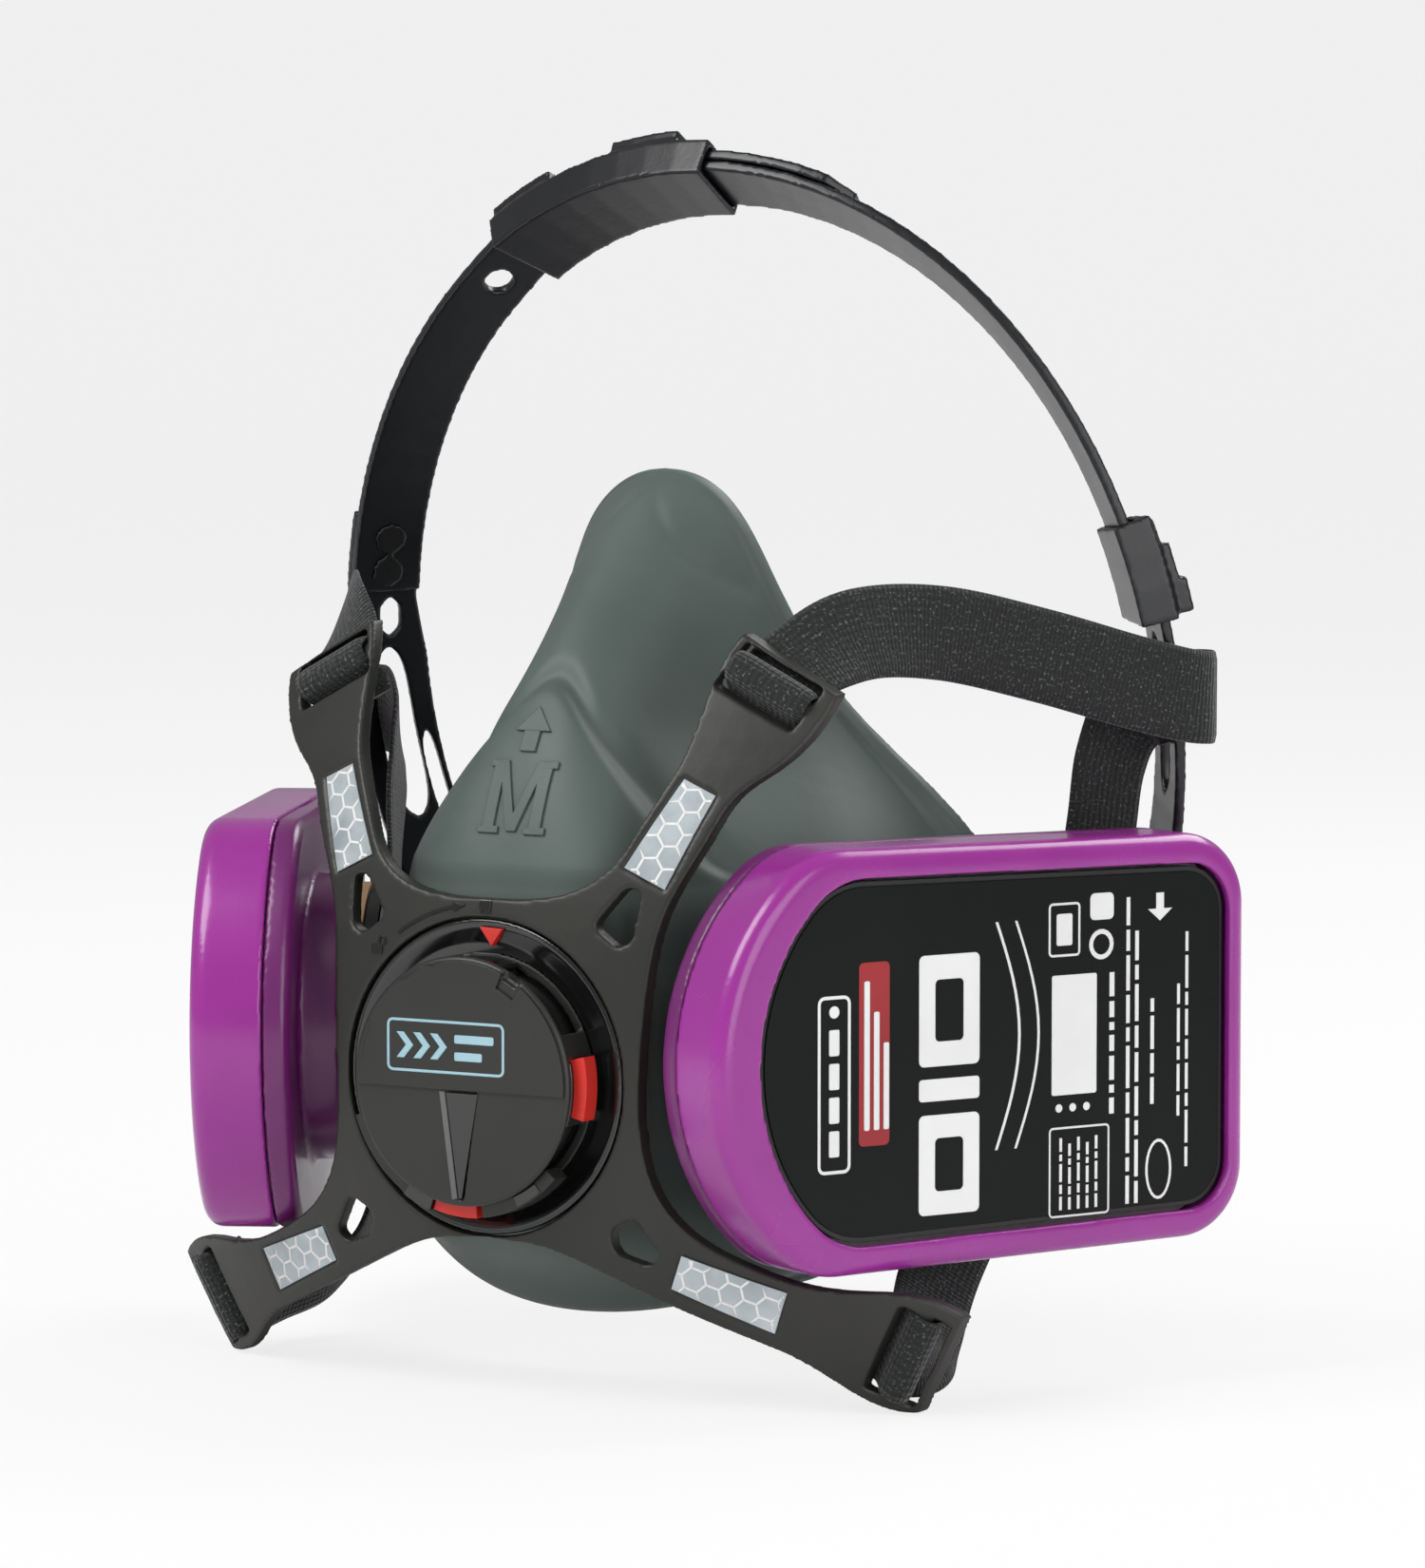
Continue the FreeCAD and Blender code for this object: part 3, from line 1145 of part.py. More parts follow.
# ---------------------------------------------------------------- elastic straps
# stations of an elastic, as on the left: centre (X, Y, Z), direction across its width, and the station's
# share of the right elastic's shift, because the right loop lies lower on the nape band
ELASTIC = [
    ((40.6, 23.2, 62.0), (0.88, -0.10, -0.46), 0),
    ((44.2, 25.2, 67.4), (0.85, 0.05, -0.52), 0),
    ((50.0, 33.8, 71.4), (0.55, 0.30, -0.78), 0),
    ((57.5, 47.3, 71.0), (0.25, 0.30, -0.92), 0.15),
    ((67.4, 62.0, 67.0), (0.20, 0.25, -0.95), 0.55),
    ((77.4, 75.6, 62.2), (0.12, 0.12, -0.98), 0.9),
    ((83.6, 84.0, 59.6), (0.02, 0.02, -0.99), 1),
    ((85.6, 89.0, 59.0), (0, 0, -1), 1),
    ((83.8, 92.4, 59.0), (0, 0, -1), 1),
    ((80.4, 91.9, 59.0), (0, 0, -1), 1),
    ((77.0, 88.9, 58.8), (0, 0.05, -1), 1),
    ((72.8, 84.6, 56.0), (0.05, 0.20, -0.95), 1),
    ((70.6, 81.8, 48.4), (0.20, 0.55, -0.80), 0.8),
    ((69.6, 80.6, 38.0), (0.30, 0.78, -0.52), 0.3),
    ((68.6, 79.0, 26.0), (0.38, 0.80, -0.45), 0),
    ((65.6, 74.0, 8.0), (0.36, 0.78, -0.50), 0),
    ((59.8, 64.6, -14.0), (0.34, 0.76, -0.56), 0),
    ((56.0, 51.5, -32.5), (0.45, 0.64, -0.62), 0),
    ((57.2, 43.0, -41.0), (0.55, 0.40, -0.74), 0),
    ((61.2, 34.4, -43.6), (0.52, 0.20, -0.83), 0),
    ((65.4, 26.6, -43.8), (0.47, 0.08, -0.88), 0),
]
LEFT_SHIFT = V(0, 0, 0)
RIGHT_SHIFT = V(0.2, 1.6, -8.0)


def elastic_section(centre, along, across):
    """Closed rectangle of the elastic's width and thickness, square to its run."""
    half_width, half_thick = val(S.strap_width) / 2, val(S.strap_thick) / 2
    wide = (across - along * across.dot(along)).normalize()
    thick = along.cross(wide).normalize()
    corners = [centre + wide * (a * half_width) + thick * (b * half_thick)
               for a, b in ((-1, -1), (1, -1), (1, 1), (-1, 1))]
    return Part.makePolygon(corners + corners[:1])


def elastic_strap(side, mirror, shift):
    """Woven elastic: upper buckle, through the nape band's slot, down to the lower buckle."""
    centres = [V(mirror * x, y, z) + shift * share for (x, y, z), across, share in ELASTIC]
    sections = []
    for i, (place, (x, y, z), share) in enumerate(ELASTIC):
        before, after = centres[max(i - 1, 0)], centres[min(i + 1, len(centres) - 1)]
        sections.append(elastic_section(centres[i], (after - before).normalize(), V(mirror * x, y, z)))
    label = side + "_elastic_strap"
    finish(shape_part(Part.makeLoft(sections, True, True), label), label)


# ---------------------------------------------------------------- build, check and write
def build_all():
    facepiece()
    exhalation_valve()
    harness_yoke()
    reflectors()
    port_collar()
    inhalation_flap()
    port_gasket()
    cartridge_base()
    cartridge_rim()
    filter_media()
    press_cover()
    press_label()
    closing_pad()
    press_spring()
    crown_strap_right()
    crown_strap_left()
    crown_adjuster()
    nape_band()
    cradle_studs()
    side_clip()
    elastic_strap("left", 1, LEFT_SHIFT)
    elastic_strap("right", -1, RIGHT_SHIFT)


def check_and_write():
    doc.recompute()
    for obj in doc.Objects:
        if "Invalid" in obj.State or "Error" in obj.State:
            raise RuntimeError("%s failed: %s" % (obj.Label, obj.State))
    os.makedirs("parts", exist_ok=True)
    for obj in finished:
        shape = obj.Shape
        if shape.isNull() or not shape.isValid() or not shape.Solids:
            raise RuntimeError("%s has no valid solid" % obj.Label)
    for obj in finished:
        obj.Shape.exportStep("parts/%s.step" % obj.Label)
        print("%-24s %2d solids %10.1f mm3" % (obj.Label, len(obj.Shape.Solids), obj.Shape.Volume))


build_all()
check_and_write()
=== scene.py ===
import json
import math

import bmesh
import bpy
import numpy as np
from mathutils import Matrix, Vector
from mathutils.bvhtree import BVHTree
from mathutils.geometry import tessellate_polygon

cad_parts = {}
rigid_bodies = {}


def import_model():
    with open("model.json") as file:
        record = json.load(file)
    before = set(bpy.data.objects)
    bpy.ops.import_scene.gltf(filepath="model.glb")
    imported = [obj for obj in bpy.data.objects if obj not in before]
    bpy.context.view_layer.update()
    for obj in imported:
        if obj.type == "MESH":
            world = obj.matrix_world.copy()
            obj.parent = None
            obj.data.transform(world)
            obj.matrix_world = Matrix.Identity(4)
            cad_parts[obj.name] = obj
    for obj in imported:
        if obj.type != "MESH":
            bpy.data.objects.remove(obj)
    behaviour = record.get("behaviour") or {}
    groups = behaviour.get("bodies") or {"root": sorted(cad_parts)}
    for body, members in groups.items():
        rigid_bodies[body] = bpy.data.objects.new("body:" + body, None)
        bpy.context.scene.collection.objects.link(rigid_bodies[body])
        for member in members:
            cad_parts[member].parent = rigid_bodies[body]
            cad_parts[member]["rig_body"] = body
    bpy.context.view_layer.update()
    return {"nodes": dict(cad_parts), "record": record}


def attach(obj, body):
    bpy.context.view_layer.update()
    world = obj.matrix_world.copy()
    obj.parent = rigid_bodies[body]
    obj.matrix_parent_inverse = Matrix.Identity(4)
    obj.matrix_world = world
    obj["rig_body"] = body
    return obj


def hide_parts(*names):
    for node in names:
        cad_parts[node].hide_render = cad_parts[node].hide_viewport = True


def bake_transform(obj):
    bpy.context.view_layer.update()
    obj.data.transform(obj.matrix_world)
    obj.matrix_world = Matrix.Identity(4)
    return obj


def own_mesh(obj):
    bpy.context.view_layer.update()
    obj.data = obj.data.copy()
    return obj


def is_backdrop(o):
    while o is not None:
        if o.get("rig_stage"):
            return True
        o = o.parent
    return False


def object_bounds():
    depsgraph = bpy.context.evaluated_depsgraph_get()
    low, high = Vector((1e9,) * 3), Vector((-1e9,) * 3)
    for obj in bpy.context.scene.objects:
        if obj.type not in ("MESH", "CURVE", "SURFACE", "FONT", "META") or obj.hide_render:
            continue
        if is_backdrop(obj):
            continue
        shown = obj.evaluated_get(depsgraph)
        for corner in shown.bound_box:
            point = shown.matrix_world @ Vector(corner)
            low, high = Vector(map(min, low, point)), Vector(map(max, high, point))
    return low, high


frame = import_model()

MM = 0.001
ROOT = "root_facepiece"
SIDES = (("left", 1), ("right", -1))


# ---------------------------------------------------------------- materials
def node_material(name):
    mat = bpy.data.materials.new(name)
    mat.use_nodes = True
    tree = mat.node_tree
    return mat, tree, tree.nodes["Principled BSDF"]


def add(tree, kind, **values):
    node = tree.nodes.new(kind)
    for key, value in values.items():
        if hasattr(node, key):
            setattr(node, key, value)
        else:
            node.inputs[key].default_value = value
    return node


def ramp(tree, factor, stops):
    node = tree.nodes.new("ShaderNodeValToRGB")
    elements = node.color_ramp.elements
    while len(elements) < len(stops):
        elements.new(0.5)
    for element, (place, color) in zip(elements, stops):
        element.position = place
        element.color = (*color, 1.0) if len(color) == 3 else color
    tree.links.new(factor, node.inputs["Fac"])
    return node.outputs["Color"]


def grey(value):
    return (value, value, value)


def moulded_look(name, dark, light, rough, grain=900.0, grain_depth=0.03, blotch=35.0, edge=0.25 * MM,
                 coat=0.0, rough_spread=0.08, wave=120.0, wave_depth=0.02, sheen=0.0, specular=0.5):
    """Moulded plastic or rubber: slow colour change, fine grain, uneven gloss and softened edges."""
    mat, tree, shader = node_material(name)
    place = add(tree, "ShaderNodeTexCoord").outputs["Object"]
    slow = add(tree, "ShaderNodeTexNoise", Scale=blotch, Detail=4.0)
    fine = add(tree, "ShaderNodeTexNoise", Scale=grain, Detail=3.0)
    middle = add(tree, "ShaderNodeTexNoise", Scale=wave, Detail=2.0)
    for texture in (slow, fine, middle):
        tree.links.new(place, texture.inputs["Vector"])
    color = ramp(tree, slow.outputs["Fac"], ((0.35, dark), (0.65, light)))
    tree.links.new(color, shader.inputs["Base Color"])
    low, high = grey(rough - rough_spread / 2), grey(rough + rough_spread / 2)
    gloss = ramp(tree, slow.outputs["Fac"], ((0.3, low), (0.7, high)))
    tree.links.new(gloss, shader.inputs["Roughness"])
    shader.inputs["Specular IOR Level"].default_value = specular
    shader.inputs["Coat Weight"].default_value = coat
    shader.inputs["Coat Roughness"].default_value = 0.12
    if sheen:
        shader.inputs["Sheen Weight"].default_value = sheen
    bevel = add(tree, "ShaderNodeBevel", samples=4, Radius=edge)
    first = add(tree, "ShaderNodeBump", Strength=1.0, Distance=wave_depth * MM)
    second = add(tree, "ShaderNodeBump", Strength=1.0, Distance=grain_depth * MM)
    tree.links.new(middle.outputs["Fac"], first.inputs["Height"])
    tree.links.new(bevel.outputs["Normal"], first.inputs["Normal"])
    tree.links.new(fine.outputs["Fac"], second.inputs["Height"])
    tree.links.new(first.outputs["Normal"], second.inputs["Normal"])
    tree.links.new(second.outputs["Normal"], shader.inputs["Normal"])
    return mat


def woven_look():
    """Woven elastic: ribs along it, stitches across it, and fine pale flecks."""
    mat, tree, shader = node_material("elastic_weave")
    uv = add(tree, "ShaderNodeUVMap").outputs["UV"]
    scaled = add(tree, "ShaderNodeMapping")
    tree.links.new(uv, scaled.inputs["Vector"])
    ribs = add(tree, "ShaderNodeTexWave", wave_type="BANDS", bands_direction="Y", Scale=1.0, Distortion=1.2)
    ribs.inputs["Detail Scale"].default_value = 2.0
    picks = add(tree, "ShaderNodeTexWave", wave_type="BANDS", bands_direction="X", Scale=1.0, Distortion=2.0)
    for texture, scale in ((ribs, 260.0), (picks, 420.0)):
        texture.inputs["Scale"].default_value = scale
        tree.links.new(scaled.outputs["Vector"], texture.inputs["Vector"])
    patch = add(tree, "ShaderNodeTexNoise", Scale=1900.0, Detail=2.0)
    tree.links.new(scaled.outputs["Vector"], patch.inputs["Vector"])
    spots = ramp(tree, patch.outputs["Fac"], ((0.60, grey(0.0)), (0.68, grey(1.0))))
    mix = add(tree, "ShaderNodeMix", data_type="RGBA")
    mix.inputs["A"].default_value = (0.004, 0.005, 0.0055, 1)
    mix.inputs["B"].default_value = (0.10, 0.11, 0.11, 1)
    tree.links.new(spots, mix.inputs["Factor"])
    tree.links.new(mix.outputs["Result"], shader.inputs["Base Color"])
    shader.inputs["Roughness"].default_value = 0.85
    shader.inputs["Sheen Weight"].default_value = 0.25
    total = add(tree, "ShaderNodeMath", operation="ADD")
    tree.links.new(ribs.outputs["Fac"], total.inputs[0])
    tree.links.new(picks.outputs["Fac"], total.inputs[1])
    bump = add(tree, "ShaderNodeBump", Strength=0.8, Distance=0.12 * MM)
    tree.links.new(total.outputs["Value"], bump.inputs["Height"])
    tree.links.new(bump.outputs["Normal"], shader.inputs["Normal"])
    return mat


def reflective_look():
    """Retroreflective film: pale grey with a fine glassy sparkle."""
    mat, tree, shader = node_material("reflector_film")
    place = add(tree, "ShaderNodeTexCoord").outputs["Object"]
    beads = add(tree, "ShaderNodeTexVoronoi", Scale=2600.0)
    broad = add(tree, "ShaderNodeTexNoise", Scale=180.0, Detail=3.0)
    tree.links.new(place, beads.inputs["Vector"])
    tree.links.new(place, broad.inputs["Vector"])
    color = ramp(tree, broad.outputs["Fac"], ((0.3, (0.33, 0.38, 0.40)), (0.7, (0.50, 0.56, 0.58))))
    tree.links.new(color, shader.inputs["Base Color"])
    shader.inputs["Roughness"].default_value = 0.28
    shader.inputs["Metallic"].default_value = 0.25
    shader.inputs["Coat Weight"].default_value = 0.5
    bump = add(tree, "ShaderNodeBump", Strength=0.5, Distance=0.03 * MM)
    tree.links.new(beads.outputs["Distance"], bump.inputs["Height"])
    tree.links.new(bump.outputs["Normal"], shader.inputs["Normal"])
    return mat


def wire_look():
    mat, tree, shader = node_material("spring_wire")
    place = add(tree, "ShaderNodeTexCoord").outputs["Object"]
    drawn = add(tree, "ShaderNodeTexNoise", Scale=700.0, Detail=3.0)
    tree.links.new(place, drawn.inputs["Vector"])
    color = ramp(tree, drawn.outputs["Fac"], ((0.3, grey(0.42)), (0.7, grey(0.62))))
    tree.links.new(color, shader.inputs["Base Color"])
    shader.inputs["Metallic"].default_value = 1.0
    shader.inputs["Roughness"].default_value = 0.32
    return mat


LOOKS = {
    "facepiece_rubber": moulded_look("facepiece_rubber", (0.072, 0.098, 0.088), (0.088, 0.117, 0.105), 0.50,
                                     grain=1400.0, grain_depth=0.018, wave_depth=0.05, wave=60.0,
                                     sheen=0.05, specular=0.4),
    "valve_rubber": moulded_look("valve_rubber", grey(0.006), grey(0.012), 0.45),
    "flap_rubber": moulded_look("flap_rubber", (0.40, 0.36, 0.25), (0.47, 0.42, 0.30), 0.5),
    "gasket_rubber": moulded_look("gasket_rubber", (0.35, 0.21, 0.10), (0.42, 0.26, 0.13), 0.55),
    "dark_plastic": moulded_look("dark_plastic", (0.016, 0.0165, 0.0135), (0.021, 0.021, 0.017), 0.42,
                                 grain=1100.0, grain_depth=0.02),
    "seat_plastic": moulded_look("seat_plastic", grey(0.006), grey(0.010), 0.25, coat=0.4),
    "ring_red": moulded_look("ring_red", (0.62, 0.022, 0.016), (0.72, 0.035, 0.024), 0.38),
    "cradle_plastic": moulded_look("cradle_plastic", (0.0035, 0.004, 0.006), (0.006, 0.0065, 0.009), 0.30,
                                   grain=1000.0, grain_depth=0.02, wave_depth=0.06),
    "stud_plastic": moulded_look("stud_plastic", grey(0.006), grey(0.009), 0.28),
    "magenta_plastic": moulded_look("magenta_plastic", (0.40, 0.026, 0.36), (0.45, 0.034, 0.41), 0.30,
                                    grain=1500.0, grain_depth=0.006, wave_depth=0.02, coat=0.15,
                                    edge=0.5 * MM),
    "cover_plastic": moulded_look("cover_plastic", grey(0.008), grey(0.012), 0.35),
    "label_print": moulded_look("label_print", (0.002, 0.0025, 0.0025), (0.003, 0.004, 0.004), 0.30,
                                grain=600.0, grain_depth=0.004, specular=0.2),
    "pleated_media": moulded_look("pleated_media", (0.60, 0.50, 0.56), (0.72, 0.62, 0.68), 0.9, grain=2500.0,
                                  grain_depth=0.08),
    "reflector_film": reflective_look(),
    "spring_wire": wire_look(),
    "elastic_weave": woven_look(),
}
GLOSS_BLACK = moulded_look("gloss_black", (0.004, 0.004, 0.004), (0.007, 0.007, 0.007), 0.16, coat=0.6,
                           grain_depth=0.004)
CAP_PLASTIC = moulded_look("cap_plastic", (0.016, 0.017, 0.0145), (0.021, 0.022, 0.019), 0.40,
                           grain_depth=0.012)
PRINT_WHITE = moulded_look("print_white", grey(0.80), grey(0.88), 0.4, grain_depth=0.003)
PRINT_RED = moulded_look("print_red", (0.30, 0.012, 0.018), (0.36, 0.016, 0.022), 0.4, grain_depth=0.003)
PRINT_BLUE = moulded_look("print_blue", (0.30, 0.50, 0.58), (0.36, 0.56, 0.64), 0.4, grain_depth=0.003)
HEX_LINE = moulded_look("hex_line", grey(0.78), grey(0.86), 0.35, grain_depth=0.004)
# Painted highlight: a lighter grey for the lit edge beside the cap's pointer groove.
GROOVE_HIGHLIGHT = moulded_look("groove_highlight", grey(0.10), grey(0.13), 0.4, grain_depth=0.003)
RIM_MAGENTA = moulded_look("rim_magenta", (0.29, 0.018, 0.26), (0.33, 0.024, 0.30), 0.26, grain=1500.0,
                           grain_depth=0.006, wave_depth=0.03, wave=70.0, coat=0.3)
# Painted shade: the filter bases are the rims' magenta plastic, darkened for the shade on their rear side.
MAGENTA_PAINTED_SHADE = moulded_look("magenta_painted_shade", (0.13, 0.009, 0.115), (0.16, 0.012, 0.14), 0.34, grain=1500.0,
                            grain_depth=0.006, wave_depth=0.03, wave=70.0, coat=0.2)


# ---------------------------------------------------------------- piece helpers
def link(name, mesh):
    obj = bpy.data.objects.new(name, mesh)
    bpy.context.scene.collection.objects.link(obj)
    return obj


def paint(obj, look):
    obj.data.materials.clear()
    obj.data.materials.append(look)


def bake(obj):
    """Replaces a piece's mesh by the result of its modifiers."""
    bpy.context.view_layer.update()
    graph = bpy.context.evaluated_depsgraph_get()
    mesh = bpy.data.meshes.new_from_object(obj.evaluated_get(graph))
    obj.modifiers.clear()
    obj.data = mesh


def shade(obj, smooth=True):
    obj.data.polygons.foreach_set("use_smooth", [smooth] * len(obj.data.polygons))
    obj.data.update()


def body_of_node(node):
    return frame["nodes"][node]["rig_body"]


def material_slot_of(node):
    for part in frame["record"]["subparts"]:
        if part["node"] == node:
            return part["material_slot"]


def moulded(node, voxel=0.4, rounds=5, look=None, name=None):
    """A CAD node remade with rounded edges."""
    mesh = frame["nodes"][node].data.copy()
    form = bmesh.new()
    form.from_mesh(mesh)
    bmesh.ops.remove_doubles(form, verts=form.verts, dist=1e-6)
    form.to_mesh(mesh)
    form.free()
    obj = link(name or node + "_moulded", mesh)
    remesh = obj.modifiers.new("voxels", "REMESH")
    remesh.mode = "VOXEL"
    remesh.voxel_size = voxel * MM
    soften = obj.modifiers.new("soften", "SMOOTH")
    soften.factor = 0.5
    soften.iterations = rounds
    bake(obj)
    shade(obj)
    slot = material_slot_of(node)
    paint(obj, look or LOOKS[slot])
    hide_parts(node)
    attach(obj, body_of_node(node))
    return obj


def keep_cad():
    """Every CAD node that stays gets the finish of its material slot."""
    for node, obj in frame["nodes"].items():
        obj.data.materials.clear()
        obj.data.materials.append(LOOKS[material_slot_of(node)])


# ---------------------------------------------------------------- flat shapes laid on surfaces
def polar(radius, degrees, centre=(0.0, 0.0)):
    angle = math.radians(degrees)
    return centre[0] + radius * math.cos(angle), centre[1] + radius * math.sin(angle)


def arc(radius, start, end, steps=12, centre=(0.0, 0.0)):
    return [polar(radius, start + (end - start) * i / steps, centre) for i in range(steps + 1)]


def disc(radius, centre=(0.0, 0.0), steps=28):
    return arc(radius, 0, 360 - 360 / steps, steps - 1, centre)


def sector(inner, outer, start, end, steps=12):
    return arc(outer, start, end, steps) + arc(inner, end, start, steps)


def box(x0, y0, x1, y1, radius=0.0):
    """A rectangle, with round corners when it has a radius."""
    if not radius:
        return [(x0, y0), (x1, y0), (x1, y1), (x0, y1)]
    corners = ((x1 - radius, y1 - radius, 0), (x0 + radius, y1 - radius, 90),
               (x0 + radius, y0 + radius, 180), (x1 - radius, y0 + radius, 270))
    return [p for x, y, a in corners for p in arc(radius, a, a + 90, 4, (x, y))]


def box_line(x0, y0, x1, y1, width, radius):
    """The outline of a rounded box as a shape with a hole."""
    inner = box(x0 + width, y0 + width, x1 - width, y1 - width, max(radius - width, 0.1))
    return [box(x0, y0, x1, y1, radius), inner]


def split_long(loop, longest):
    """Adds points so that no side of a loop is longer than a limit."""
    points = []
    for (x0, y0), (x1, y1) in zip(loop, loop[1:] + loop[:1]):
        parts = max(1, math.ceil(math.hypot(x1 - x0, y1 - y0) / longest))
        points += [(x0 + (x1 - x0) * i / parts, y0 + (y1 - y0) * i / parts) for i in range(parts)]
    return points


def relief(name, shapes, place, height, look, body, sink=0.15, longest=2.5):
    """Low raised shapes on a surface. A shape is a list of loops in mm: its outline, then its holes."""
    form = bmesh.new()
    for shape in shapes:
        loops = [split_long(loop, longest) for loop in shape]
        flat = [Vector((x, y, 0)) for loop in loops for x, y in loop]
        spots = [place(p.x, p.y) for p in flat]
        top = [form.verts.new(p + n * height * MM) for p, n in spots]
        low = [form.verts.new(p - n * sink * MM) for p, n in spots]
        for a, b, c in tessellate_polygon([[Vector((x, y, 0)) for x, y in loop] for loop in loops]):
            form.faces.new((top[a], top[b], top[c]))
            form.faces.new((low[c], low[b], low[a]))
        first = 0
        for loop in loops:
            count = len(loop)
            for i in range(count):
                a, b = first + i, first + (i + 1) % count
                form.faces.new((top[a], low[a], low[b], top[b]))
            first += count
    bmesh.ops.recalc_face_normals(form, faces=form.faces)
    mesh = bpy.data.meshes.new(name)
    form.to_mesh(mesh)
    form.free()
    obj = link(name, mesh)
    paint(obj, look)
    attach(obj, body)
    return obj


def plane(origin, along, across, normal):
    """Place function of a flat face; lengths in mm."""
    def place(u, v):
        return origin + (along * u + across * v) * MM, normal
    return place


def shadow_on(obj, origin, along, across, ray):
    """Place function that throws points from a plane onto a piece along a ray."""
    tree = BVHTree.FromObject(obj, bpy.context.evaluated_depsgraph_get())

    def place(u, v):
        start = origin + (along * u + across * v) * MM
        point, normal = tree.ray_cast(start, ray)[:2]
        if point is None:
            point, normal = tree.find_nearest(start)[:2]
        return point, normal if normal.dot(ray) < 0 else -normal
    return place


X, Y, Z = Vector((1, 0, 0)), Vector((0, 1, 0)), Vector((0, 0, 1))
IN_FRONT = Vector((0, -0.03, 0))


def smooth(value):
    value = np.clip(value, 0.0, 1.0)
    return value * value * (3 - 2 * value)


def coordinates(mesh, what="vertices"):
    data = np.empty(3 * len(mesh.vertices))
    if what == "vertices":
        mesh.vertices.foreach_get("co", data)
    else:
        mesh.vertex_normals.foreach_get("vector", data)
    return data.reshape(-1, 3)


# ---------------------------------------------------------------- facepiece
# rear edge of the facepiece's outer skin: height and depth in mm
RIM_LINE = ((-42.5, 41.5), (-40, 46), (-28, 65), (9, 82), (36, 76.5), (58.5, 66.5), (77.5, 61.6), (93.6, 59))
LIP_ZONE, LIP_ROUNDS = 5.0, 45
# the raised front panel: a point on its leg, the leg's direction outwards, and the rounding of its top
PANEL_LEG, PANEL_NORMAL, PANEL_ROUND = (6.6, 59.5), (0.766, 0.645), 3.0


def facepiece_detail(obj):
    """Raised triangular front panel in a groove, a fold over the nose and a thicker lip at the rim."""
    mesh = obj.data
    place, normal = coordinates(mesh) / MM, coordinates(mesh, "normals")
    x, y, z = place.T
    legs = [(side * x - PANEL_LEG[0]) * PANEL_NORMAL[0] + (z - PANEL_LEG[1]) * PANEL_NORMAL[1]
            for side in (1, -1)]
    edge = PANEL_ROUND * np.logaddexp(legs[0] / PANEL_ROUND, legs[1] / PANEL_ROUND)
    front = smooth((-normal[:, 1] - 0.12) / 0.2) * smooth((z - 30.0) / 4.0) * smooth((34.0 - y) / 6.0)
    push = front * (0.55 * smooth(-edge / 2.2) - 1.15 * np.exp(-(edge / 1.25) ** 2))
    heights, depths = zip(*RIM_LINE)
    from_rim = np.interp(z, heights, depths) - y
    axis = place - np.array([0.0, 0.0, 10.0])
    outwards = (axis * normal)[:, [0, 2]].sum(axis=1) / np.hypot(axis[:, 0], axis[:, 2])
    outer = smooth((outwards - 0.25) / 0.35) * smooth((y - 18.0) / 6.0)
    push += outer * 0.4 * smooth((6.0 - from_rim) / 1.5) * smooth((from_rim - 0.8) / 1.5)
    crease = (z - 90.0) + 1.05 * (np.abs(x) - 3.0) + 0.25 * (45.0 - y)
    push -= outer * smooth((z - 55.0) / 3.0) * smooth((56.0 - y) / 2.0) * 0.35 * np.exp(-(crease / 1.3) ** 2)
    mesh.vertices.foreach_set("co", ((place + normal * push[:, None]) * MM).ravel())
    mesh.update()


def soften_lip(obj):
    """Smooths the thin sealing edge, which is finer than the remeshing."""
    y, z = coordinates(obj.data)[:, 1:].T / MM
    heights, depths = zip(*RIM_LINE)
    near = np.flatnonzero(np.interp(z, heights, depths) - y < LIP_ZONE)
    obj.vertex_groups.new(name="lip").add(near.tolist(), 1.0, "REPLACE")
    modifier = obj.modifiers.new("lip", "SMOOTH")
    modifier.vertex_group = "lip"
    modifier.factor = 0.5
    modifier.iterations = LIP_ROUNDS
    bake(obj)


LETTER_M = [(-6.3, 0), (-2.5, 0), (-2.5, 1.1), (-3.4, 1.1), (-3.4, 8.0), (-0.9, 0.4), (0.9, 0.4), (3.4, 8.0),
            (3.4, 1.1), (2.5, 1.1), (2.5, 0), (6.3, 0), (6.3, 1.1), (5.5, 1.1), (5.5, 10.4), (6.3, 10.4),
            (6.3, 11.5), (2.9, 11.5), (0, 3.2), (-2.9, 11.5), (-6.3, 11.5), (-6.3, 10.4), (-5.5, 10.4),
            (-5.5, 1.1), (-6.3, 1.1)]
UP_ARROW = [(-1.5, 0), (1.5, 0), (1.5, 3.2), (3.3, 3.2), (0, 7.0), (-3.3, 3.2), (-1.5, 3.2)]


def facepiece():
    obj = moulded("facepiece", 0.42, 12)
    soften_lip(obj)
    facepiece_detail(obj)
    surface = shadow_on(obj, IN_FRONT, X, Z, Y)
    letter = [(x, z + 38.8) for x, z in LETTER_M]
    arrow = [(x, z + 51.8) for x, z in UP_ARROW]
    relief("facepiece_size_mark", [[letter], [arrow]], surface, 0.45, LOOKS["facepiece_rubber"], ROOT,
           sink=0.4, longest=1.2)


# ---------------------------------------------------------------- exhalation valve
CAP_FACE, CAP_HALF, CAP_STEP = -9.4, 19.6, 0.45
RING_GRIP_FACE, RING_SLOT_FACE, RING_MARK_FACE, LOCK_ARROW_FACE, BEZEL_FACE = -6.6, -7.2, -6.0, -2.2, -1.7


def front_face(depth):
    """Place function of a plane that faces forward at a depth in mm."""
    return plane(Vector((0, depth * MM, 0)), X, Z, -Y)


